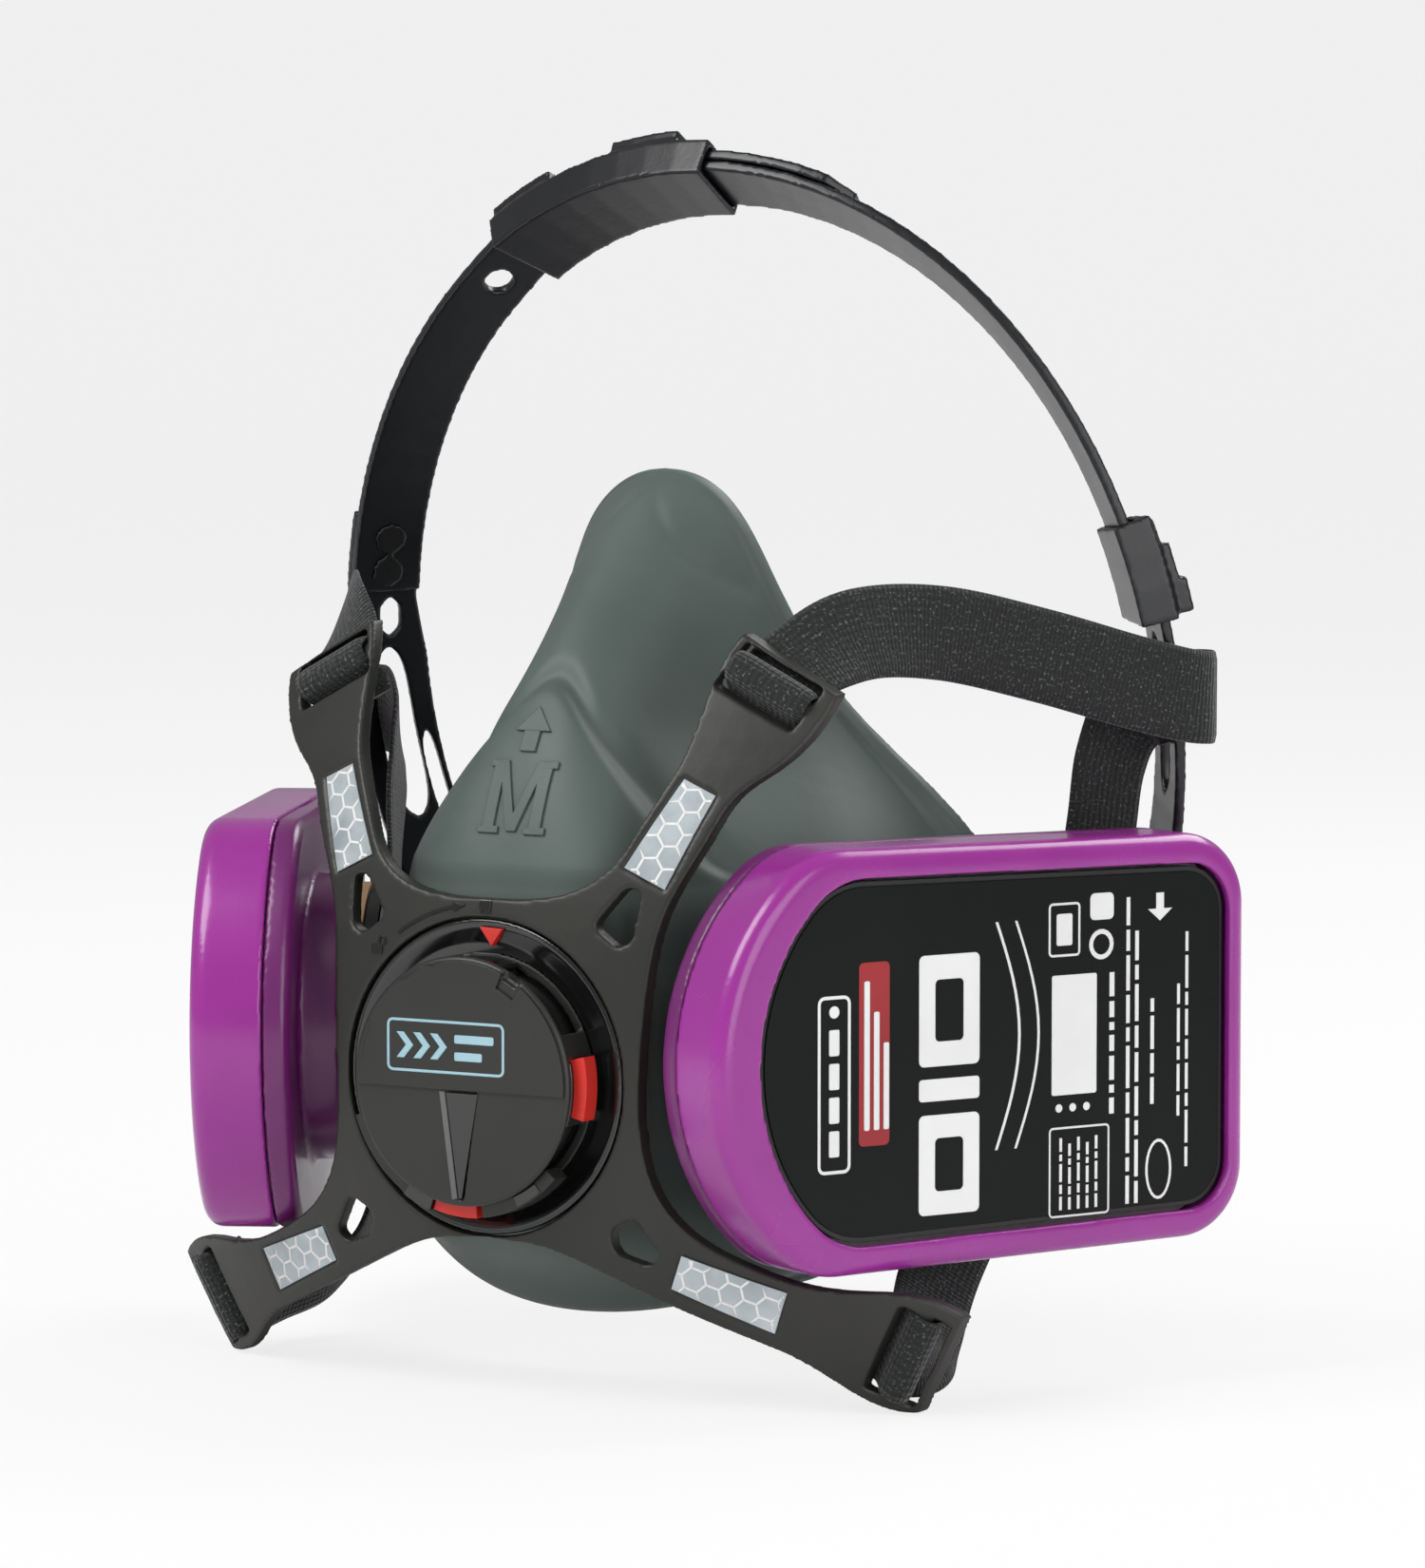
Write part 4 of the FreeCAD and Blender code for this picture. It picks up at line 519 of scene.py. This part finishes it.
def valve():
    cover, ring = "valve_cover", "valve_locking_ring"
    moulded(cover, 0.3, 3, CAP_PLASTIC)
    moulded(ring, 0.3, 3, GLOSS_BLACK)
    moulded("valve_bezel", 0.3, 3, GLOSS_BLACK)
    slot, rider, ring_slot = material_slot_of(cover), body_of_node(cover), material_slot_of(ring)
    crown = (arc(CAP_HALF, -4, 54) + arc(CAP_HALF - 2.6, 54, 66, 4) + arc(CAP_HALF, 66, 100)
             + [polar(CAP_HALF - 0.5, 106), polar(CAP_HALF + 0.1, 112), polar(CAP_HALF - 0.6, 122)]
             + arc(CAP_HALF, 126, 150) + [polar(CAP_HALF - 0.9, 152)] + arc(CAP_HALF - 0.9, 156, 172, 5)
             + arc(CAP_HALF, 174, 184, 4))
    relief("valve_cover_upper_face", [[crown]], front_face(CAP_FACE), CAP_STEP, CAP_PLASTIC, rider)
    # painted shade: a darker gloss sheet over the pointer groove stands in for the shade inside it
    pointer = [(-2.7, -1.9), (3.3, -1.9), (0.25, -18.9), (-0.3, -18.9)]
    relief("valve_cover_pointer_shade", [[pointer]], front_face(CAP_FACE + 0.2), 0.3, GLOSS_BLACK, rider,
           sink=0.3)
    # painted highlight along the left edge of the pointer groove
    edge = [(-3.9, -1.7), (-2.9, -1.7), (-0.55, -18.9), (-1.5, -19.2)]
    relief("valve_cover_groove_highlight", [[edge]], front_face(CAP_FACE), 0.18, GROOVE_HIGHLIGHT, rider)
    shapes = [box_line(-13.6, 1.2, 8.6, 9.8, 0.45, 1.1)]
    shapes += [[[(x, 3.4), (x + 1.4, 3.4), (x + 3.2, 5.5), (x + 1.4, 7.6), (x, 7.6), (x + 1.8, 5.5)]]
               for x in (-11.8, -8.6, -5.4)]
    shapes += [[box(-0.8, 6.2, 6.6, 7.6, 0.3)], [box(-0.8, 3.4, 4.4, 4.8, 0.3)]]
    relief("valve_cover_badge", shapes, front_face(CAP_FACE - CAP_STEP), 0.06, PRINT_BLUE, rider)
    grips = [[sector(20.1, 22.3, 198, 243)], [sector(20.1, 22.3, 278, 318)]]
    relief("valve_ring_grips", grips, front_face(RING_GRIP_FACE), 0.9, CAP_PLASTIC, ROOT,
           sink=3.0)
    slots = [[sector(20.0, 22.6, 238, 252, 5)], [sector(19.9, 22.1, 296, 309, 5)]]
    relief("valve_ring_slots", slots, front_face(RING_SLOT_FACE), 0.45, GLOSS_BLACK, ROOT,
           sink=1.2)
    red = [[sector(19.9, 22.4, 252.5, 274, 6)], [sector(19.4, 22.2, -14, 13, 8)]]
    relief("locking_marks", red, front_face(RING_MARK_FACE), 0.9, LOOKS["ring_red"], ROOT,
           sink=2.5)
    arrow = [[[(-0.6, 24.4), (3.6, 24.2), (1.6, 21.4)]]]
    relief("lock_arrow", arrow, front_face(LOCK_ARROW_FACE), 0.2, LOOKS["ring_red"], ROOT,
           sink=1.2)
    relief("bezel_line", [[sector(24.95, 25.15, 0, 358, 90)]], front_face(BEZEL_FACE), 0.12, GLOSS_BLACK,
           ROOT)


# ---------------------------------------------------------------- yoke, marks and reflectors
def padlock(centre, opened):
    """A padlock icon: body, and a shackle that stands to one side when open."""
    cx, cz = centre
    shift = 0.9 if opened else 0.0
    shackle = ([(cx - 0.75 + shift, cz + 0.3)] + arc(0.75, 180, 0, 8, (cx + shift, cz + 1.1))
               + [(cx + 0.75 + shift, cz + 0.3), (cx + 0.45 + shift, cz + 0.3)]
               + arc(0.45, 0, 180, 8, (cx + shift, cz + 1.1)) + [(cx - 0.45 + shift, cz + 0.3)])
    return [[box(cx - 1.1, cz - 1.2, cx + 1.1, cz + 0.4, 0.2)], [shackle]]


def yoke():
    obj = moulded("harness_yoke", 0.4, 4)
    surface = shadow_on(obj, IN_FRONT, X, Z, Y)
    turn = sector(27.75, 28.25, 102, 126)
    head = [polar(28.8, 102), polar(27.2, 102), polar(28.0, 97.5)]
    shapes = padlock((0.2, 28.3), False) + padlock((-20.6, 20.2), True) + [[turn], [head]]
    relief("yoke_lock_marks", shapes, surface, 0.22, GLOSS_BLACK, ROOT)


HEX_SIDE = 2.15
HEX_LINE_WIDTH = 0.42


def clip_segment(start, end, hull):
    """The part of a segment inside a convex anticlockwise hull, or None."""
    low, high = 0.0, 1.0
    run = (end[0] - start[0], end[1] - start[1])
    for (x0, y0), (x1, y1) in zip(hull, hull[1:] + hull[:1]):
        nx, ny = y0 - y1, x1 - x0
        inside = nx * (start[0] - x0) + ny * (start[1] - y0)
        speed = nx * run[0] + ny * run[1]
        if abs(speed) < 1e-9:
            if inside < 0:
                return None
        elif speed > 0:
            low = max(low, -inside / speed)
        else:
            high = min(high, -inside / speed)
    if high - low < 0.02:
        return None
    return [(start[0] + run[0] * f, start[1] + run[1] * f) for f in (low, high)]


def strip(start, end, width):
    run = (end[0] - start[0], end[1] - start[1])
    length = math.hypot(*run)
    side = (-run[1] / length * width / 2, run[0] / length * width / 2)
    return [(start[0] - side[0], start[1] - side[1]), (end[0] - side[0], end[1] - side[1]),
            (end[0] + side[0], end[1] + side[1]), (start[0] + side[0], start[1] + side[1])]


def honeycomb(node):
    """Raised honeycomb lines on a reflector, clipped to its outline."""
    obj = frame["nodes"][node]
    points = coordinates(obj.data)
    centre = points.mean(axis=0)
    spread = np.linalg.svd(points - centre, full_matrices=False)[2]
    along, across = Vector(spread[0]), Vector(spread[1])
    normal = along.cross(across)
    if normal.y > 0:
        across, normal = -across, -normal
    flat = (points - centre) @ np.array([along, across]).T / MM
    hull = [tuple(flat[i]) for i in convex_hull(flat)]
    middle = np.mean(hull, axis=0)
    hull = [tuple(middle + (np.array(p) - middle) * 0.97) for p in hull]
    surface = shadow_on(obj, Vector(centre) + normal * 0.01, along, across, -normal)
    shapes = []
    step_x, step_y = 1.5 * HEX_SIDE, math.sqrt(3) * HEX_SIDE
    for i in range(-5, 6):
        for j in range(-5, 6):
            cx, cy = i * step_x, (j + 0.5 * (i % 2)) * step_y
            corners = [polar(HEX_SIDE, 60 * k, (cx, cy)) for k in range(4)]
            for a, b in zip(corners, corners[1:]):
                piece = clip_segment(a, b, hull)
                if piece:
                    shapes.append([strip(*piece, HEX_LINE_WIDTH)])
    relief(node + "_cells", shapes, surface, 0.05, HEX_LINE, ROOT, sink=0.08,
           longest=3)


def convex_hull(points):
    """Indices of a convex hull, anticlockwise."""
    order = sorted(range(len(points)), key=lambda i: (round(points[i][0], 4), round(points[i][1], 4)))

    def half(run):
        chain = []
        for i in run:
            while len(chain) > 1:
                (x0, y0), (x1, y1), (x2, y2) = (points[k] for k in (chain[-2], chain[-1], i))
                if (x1 - x0) * (y2 - y0) - (y1 - y0) * (x2 - x0) > 1e-6:
                    break
                chain.pop()
            chain.append(i)
        return chain[:-1]

    return half(order) + half(order[::-1])


# ---------------------------------------------------------------- filters
PORT_CENTRE, PORT_TURN = Vector((50.0, 25.0, 4.5)), math.radians(25.8)
LABEL_FACE = 15.72


def port_plane(mirror, height):
    """Place function of a plane across the port axis: s rearwards, t up, in mm."""
    rear = Vector((mirror * math.sin(PORT_TURN), math.cos(PORT_TURN), 0))
    out = Vector((mirror * math.cos(PORT_TURN), -math.sin(PORT_TURN), 0))
    centre = Vector((mirror * PORT_CENTRE.x, PORT_CENTRE.y, PORT_CENTRE.z))
    return plane((centre + out * height) * MM, rear, Z, out)


def print_rows(s, width, low, high, words):
    """A line of print: short bars with gaps, seen as unreadable small type."""
    shapes, t, total = [], low, sum(words) + 0.6 * (len(words) - 1)
    scale = (high - low) / total
    for word in words:
        shapes.append([box(s - width / 2, t, s + width / 2, t + word * scale)])
        t += (word + 0.6) * scale
    return shapes


def wave(shift, width):
    """A slim wavy line across the label."""
    line = [(20.3 + 4.6 * math.sin(math.pi * f) + shift, 21 - 37 * f) for f in [i / 16 for i in range(17)]]
    return line + [(s + width, t) for s, t in reversed(line)]


def label(side, mirror):
    slot, rider = material_slot_of(side + "_filter_label"), side + "_press"
    face = port_plane(mirror, LABEL_FACE)
    white = [box_line(-14.6, -17.5, -8.2, 11.0, 0.55, 1.3)]
    white += [[box(-12.4, t, -10.4, t + 4.2, 0.3)] for t in (-14.8, -9.4, -4.0, 1.4)]
    white += [[disc(1.0, (-11.4, 8.4), 14)]]
    white += [[box(5.2, -25.6, 17.2, -9.4, 1.0), box(8.4, -21.8, 14.0, -13.2, 0.8)],
              [box(5.2, -7.2, 17.2, -3.6, 0.6)],
              [box(5.2, -1.6, 17.2, 16.4, 1.0), box(8.4, 2.4, 14.0, 12.4, 0.8)]]
    white += [[wave(0.0, 0.55)], [wave(3.9, 0.5)]]
    white += [[box(31.7, -8.0, 40.8, 11.6, 0.4)]]
    white += [box_line(31.2, -28.0, 43.5, -13.2, 0.35, 0.8)]
    white += [[disc(0.7, (s, -10.1), 12)] for s in (33.2, 36.0, 38.8)]
    for row, s in enumerate((33.6, 35.4, 37.2, 39.0, 40.8)):
        white += print_rows(s, 0.55, -26.8, -15.0 - row % 2, (3, 2, 4, 1.5, 3))
    white += [box_line(31.0, 14.6, 37.4, 23.4, 0.4, 0.8), [box(32.6, 16.4, 35.8, 21.6, 0.4)]]
    white += [[disc(2.5, (41.7, 16.2), 18), disc(1.7, (41.7, 16.2), 18)], [box(39.4, 20.2, 44.2, 24.6, 0.9)]]
    white += print_rows(43.9, 1.0, -11.7, 11.5, (2, 1, 3, 2, 1, 2, 3))
    white += print_rows(47.2, 0.75, -26.8, 23.6, (4, 2, 5, 3, 6, 2, 4, 5, 3, 4))
    white += print_rows(49.0, 0.75, -26.8, 18.0, (3, 5, 2, 4, 4, 3, 5, 2, 4))
    white += print_rows(52.2, 0.75, -10.7, 6.7, (4, 3, 5, 2))
    white += print_rows(57.6, 0.6, -13.0, 8.8, (3, 4, 2, 5, 3))
    white += print_rows(59.3, 0.6, -21.5, 17.3, (3, 5, 2, 4, 3, 4, 2, 5, 3))
    turns = np.linspace(0, 2 * math.pi, 24)[:-1]
    oval = [(53.6 + 2.7 * math.cos(a), -21.5 + 5.0 * math.sin(a)) for a in turns]
    hole = [(53.6 + (s - 53.6) * 0.82, -21.5 + (t + 21.5) * 0.9) for s, t in oval]
    down_arrow = [(51.2, 21.4), (53.7, 19.4), (56.2, 21.4), (54.5, 21.4), (54.5, 24.0), (52.9, 24.0),
                  (52.9, 21.4)]
    white += [[oval, hole], [down_arrow]]
    relief(side + "_label_print", white, face, 0.05, PRINT_WHITE, rider, sink=0.05, longest=30)
    red = [[box(-6.6, -13.5, -0.6, 16.0, 0.9)]]
    relief(side + "_label_block", red, face, 0.05, PRINT_RED, rider, sink=0.05, longest=30)
    dark = [[box(-5.6 + i * 1.9, -11.0, -4.5 + i * 1.9, 13.0 - 5 * i, 0.3)] for i in range(3)]
    relief(side + "_label_bars", dark, port_plane(mirror, LABEL_FACE + 0.05), 0.04, PRINT_WHITE, rider,
           sink=0.02, longest=30)


def filters():
    for side, mirror in SIDES:
        moulded(side + "_filter_rim", 0.42, 5, RIM_MAGENTA)
        # the base's darker magenta is painted shade
        moulded(side + "_filter_base", 0.5, 5, MAGENTA_PAINTED_SHADE)
        label(side, mirror)


# ---------------------------------------------------------------- elastics
# route of an elastic in mm, as on the left: centre, direction across the width, share of RIGHT_SHIFT
ROUTE = (
    ((44.2, 25.2, 67.4), (0.85, 0.05, -0.52), 0),
    ((50.0, 33.8, 71.4), (0.55, 0.30, -0.78), 0),
    ((57.5, 47.3, 71.0), (0.25, 0.30, -0.92), 0.15),
    ((67.4, 62.0, 67.0), (0.20, 0.25, -0.95), 0.55),
    ((77.4, 75.6, 62.2), (0.12, 0.12, -0.98), 0.9),
    ((83.6, 84.0, 59.6), (0.02, 0.02, -0.99), 1),
    ((85.6, 89.0, 59.0), (0, 0, -1), 1),
    ((83.8, 92.4, 59.0), (0, 0, -1), 1),
    ((80.4, 91.9, 59.0), (0, 0, -1), 1),
    ((77.0, 88.9, 58.8), (0, 0.05, -1), 1),
    ((72.8, 84.6, 56.0), (0.05, 0.20, -0.95), 1),
    ((70.6, 81.8, 48.4), (0.20, 0.55, -0.80), 0.8),
    ((69.6, 80.6, 38.0), (0.30, 0.78, -0.52), 0.3),
    ((68.6, 79.0, 26.0), (0.38, 0.80, -0.45), 0),
    ((65.6, 74.0, 8.0), (0.36, 0.78, -0.50), 0),
    ((59.8, 64.6, -14.0), (0.34, 0.76, -0.56), 0),
    ((56.0, 51.5, -32.5), (0.45, 0.64, -0.62), 0),
    ((57.2, 43.0, -41.0), (0.55, 0.40, -0.74), 0),
    ((61.2, 34.4, -43.6), (0.52, 0.20, -0.83), 0),
)
RIGHT_SHIFT = (0.2, 1.6, -8.0)
STRAP_WIDTH, STRAP_THICK = 15.0, 1.3
DISH_RADIUS, DISH_CENTRE = 142.0, 137.4
# strap bars of the yoke: centre and direction across the window in the front view, degrees
UPPER_BAR, LOWER_BAR = ((41.4, 63.4), 62.6), ((65.9, -43.4), -27.6)
ROLL_RADIUS = 2.35


def bar_roll(bar):
    """Stations of the elastic's turn round a bar, from its sewn end to where it leaves backwards."""
    (x, z), degrees = bar
    angle = math.radians(degrees)
    depth = DISH_CENTRE - math.sqrt((DISH_RADIUS - 1.5) ** 2 - x * x - z * z)
    centre = Vector((x, depth, z))
    inward = (Vector((0, DISH_CENTRE, 0)) - centre).normalized()
    outer = Vector((math.cos(angle), 0, math.sin(angle)))
    outer = (outer - inward * outer.dot(inward)).normalized()
    across = inward.cross(outer)
    stations = [(centre + inward * 4.4 - outer * 5.5, across), (centre + inward * 3.4 - outer * 3.0, across)]
    for turn in range(200, -61, -26):
        a = math.radians(turn)
        stations.append((centre + (outer * math.cos(a) - inward * math.sin(a)) * ROLL_RADIUS, across))
    return stations


def catmull(p0, p1, p2, p3, f):
    return 0.5 * ((2 * p1) + (p2 - p0) * f + (2 * p0 - 5 * p1 + 4 * p2 - p3) * f * f
                  + (3 * p1 - p0 - 3 * p2 + p3) * f ** 3)


def smooth_path(stations, step):
    """Evenly fine stations along a smooth curve."""
    places = [p for p, w in stations]
    ways = [w for p, w in stations]
    result = []
    last = len(stations) - 1
    for i in range(last):
        pick = [max(i - 1, 0), i, i + 1, min(i + 2, last)]
        parts = max(1, round((places[i + 1] - places[i]).length / step))
        for k in range(parts):
            f = k / parts
            result.append((catmull(*(places[j] for j in pick), f), catmull(*(ways[j] for j in pick), f)))
    return result + [stations[-1]]


def strap_mesh(name, stations):
    """A flat strap with rounded, slightly raised edges, and UVs in metres along and across it."""
    half, thick = STRAP_WIDTH / 2, STRAP_THICK / 2
    across_steps = np.linspace(-1, 1, 13)
    upper = [(a * half, thick * (0.86 + 0.14 * a ** 8) * (1 - abs(a) ** 14 * 0.55)) for a in across_steps]
    section = upper + [(half + 0.22, 0.0)] + [(a, -b) for a, b in reversed(upper)] + [(-half - 0.22, 0.0)]
    form = bmesh.new()
    layer = form.loops.layers.uv.new("UVMap")
    rings, lengths, length = [], [], 0.0
    previous = None
    for i, (centre, way) in enumerate(stations):
        before, after = stations[max(i - 1, 0)][0], stations[min(i + 1, len(stations) - 1)][0]
        along = (after - before).normalized()
        wide = (way - along * way.dot(along)).normalized()
        if previous and previous[1].dot(wide) < 0:
            wide = -wide
        up = along.cross(wide)
        length += (centre - previous[0]).length if previous else 0.0
        previous = (centre, wide)
        rings.append([form.verts.new((centre + wide * a + up * b) * MM) for a, b in section])
        lengths.append(length)
    count = len(section)
    across = [a for a, b in section]
    for i in range(len(rings) - 1):
        for k in range(count):
            n = (k + 1) % count
            face = form.faces.new((rings[i][k], rings[i][n], rings[i + 1][n], rings[i + 1][k]))
            for loop, (ring, point) in zip(face.loops, ((i, k), (i, n), (i + 1, n), (i + 1, k))):
                loop[layer].uv = (lengths[ring] * MM, (across[point] + half) * MM)
    form.faces.new(rings[0][::-1])
    form.faces.new(rings[-1])
    bmesh.ops.recalc_face_normals(form, faces=form.faces)
    mesh = bpy.data.meshes.new(name)
    form.to_mesh(mesh)
    form.free()
    obj = link(name, mesh)
    shade(obj)
    return obj


def elastics():
    for side, mirror in SIDES:
        node = side + "_elastic_strap"
        shift = Vector(RIGHT_SHIFT) if mirror < 0 else Vector()
        middle = []
        for place, way, share in ROUTE:
            moved = Vector((mirror * place[0], place[1], place[2])) + shift * share
            middle.append((moved, Vector((mirror * way[0], way[1], way[2])).normalized()))
        start, end = ([(Vector((mirror * p.x, p.y, p.z)), Vector((mirror * w.x, w.y, w.z)))
                       for p, w in bar_roll(bar)] for bar in (UPPER_BAR, LOWER_BAR))
        stations = aligned(start + middle + end[::-1])
        obj = strap_mesh(side + "_elastic", smooth_path(stations, 1.1))
        paint(obj, LOOKS["elastic_weave"])
        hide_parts(node)
        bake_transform(obj)


def aligned(stations):
    """Turns the width directions so that neighbours agree."""
    result = [stations[0]]
    for place, way in stations[1:]:
        if way.dot(result[-1][1]) < 0:
            way = -way
        result.append((place, way))
    return result


# ---------------------------------------------------------------- head cradle
def cradle():
    for node in ("crown_strap_right", "crown_strap_left", "nape_band", "crown_adjuster", "side_clip",
                 "cradle_studs"):
        moulded(node, 0.36, 4)


def springs():
    """The press springs, copied from their CAD nodes with a wire finish."""
    for side, mirror in SIDES:
        node = side + "_press_spring"
        obj = link(side + "_spring_coil", frame["nodes"][node].data.copy())
        shade(obj)
        paint(obj, LOOKS["spring_wire"])
        out = Vector((mirror * math.cos(PORT_TURN), -math.sin(PORT_TURN), 0))
        places = coordinates(obj.data)
        heights = places @ np.array(out)
        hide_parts(node)
        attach(obj, body_of_node(node))
        base = Vector(places[heights.argmin()])
        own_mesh(obj)


keep_cad()
facepiece()
valve()
yoke()
for side_name, mirror_sign in SIDES:
    for level in ("upper", "lower"):
        honeycomb("%s_%s_reflector" % (side_name, level))
filters()
elastics()
cradle()
springs()


# ---------------------------------------------------------------- camera, light and stage
def camera():
    data = bpy.data.cameras.new("camera")
    data.sensor_fit = "AUTO"
    data.sensor_width = 36.0
    data.lens = 171.3
    data.clip_end = 20.0
    obj = bpy.data.objects.new("camera", data)
    bpy.context.scene.collection.objects.link(obj)
    right, up = Vector((0.866, 0.5, 0)), Vector((-0.0412, 0.0713, 0.9966))
    back = Vector((0.498, -0.863, 0.082))
    obj.matrix_world = Matrix.Translation((0.63106, -1.02133, 0.14627)) @ Matrix((
        (right.x, up.x, back.x), (right.y, up.y, back.y), (right.z, up.z, back.z))).to_4x4()
    bpy.context.scene.camera = obj


def area(name, place, target, size, power, color=(1, 1, 1)):
    data = bpy.data.lights.new(name, "AREA")
    data.shape = "RECTANGLE"
    data.size, data.size_y = size
    data.energy = power
    data.color = color
    obj = bpy.data.objects.new(name, data)
    bpy.context.scene.collection.objects.link(obj)
    obj.location = place
    obj.rotation_euler = (Vector(target) - Vector(place)).to_track_quat("-Z", "Y").to_euler()


def backdrop(low):
    """A pale floor that curves up into a wall far behind."""
    reach, rise, radius, steps = 5.0, 5.0, 1.2, 14
    profile = [(-reach, 0.0)]
    for i in range(steps + 1):
        a = math.pi / 2 * i / steps
        profile.append((reach - radius + radius * math.sin(a), radius - radius * math.cos(a)))
    profile.append((reach, rise))
    ahead = Vector((-0.5, 0.866, 0.0))
    side = Vector((0.866, 0.5, 0.0))
    verts, faces = [], []
    for along, up in profile:
        for across in (-6.0, 6.0):
            verts.append(ahead * along + side * across + Vector((0, 0, low + up)))
    for i in range(len(profile) - 1):
        faces.append((2 * i, 2 * i + 1, 2 * i + 3, 2 * i + 2))
    mesh = bpy.data.meshes.new("backdrop")
    mesh.from_pydata(verts, [], faces)
    obj = link("backdrop", mesh)
    shade(obj)
    mat, tree, shader = node_material("backdrop")
    shader.inputs["Base Color"].default_value = (0.93, 0.93, 0.93, 1)
    shader.inputs["Roughness"].default_value = 0.9
    glow = add(tree, "ShaderNodeEmission", Strength=0.98)
    mix = add(tree, "ShaderNodeMixShader")
    seen = add(tree, "ShaderNodeMath", operation="MULTIPLY")
    seen.inputs[1].default_value = 0.82
    tree.links.new(add(tree, "ShaderNodeLightPath").outputs["Is Camera Ray"], seen.inputs[0])
    tree.links.new(seen.outputs["Value"], mix.inputs["Fac"])
    tree.links.new(shader.outputs["BSDF"], mix.inputs[1])
    tree.links.new(glow.outputs["Emission"], mix.inputs[2])
    tree.links.new(mix.outputs["Shader"], tree.nodes["Material Output"].inputs["Surface"])
    paint(obj, mat)
    obj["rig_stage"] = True


def studio():
    scene = bpy.context.scene
    scene.view_settings.view_transform = "Standard"
    world = bpy.data.worlds.new("studio")
    world.use_nodes = True
    world.node_tree.nodes["Background"].inputs["Color"].default_value = (1, 1, 1, 1)
    world.node_tree.nodes["Background"].inputs["Strength"].default_value = 0.36
    scene.world = world
    centre = (0.0, 0.05, 0.04)
    area("key", (-0.45, -0.75, 0.95), centre, (0.7, 0.7), 11.0)
    area("fill", (1.1, -0.5, 0.35), centre, (0.8, 0.9), 5.5)
    area("rim", (0.3, 0.9, 0.9), centre, (0.9, 0.5), 8.0)


camera()
studio()
backdrop(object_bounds()[0].z - 0.0002)
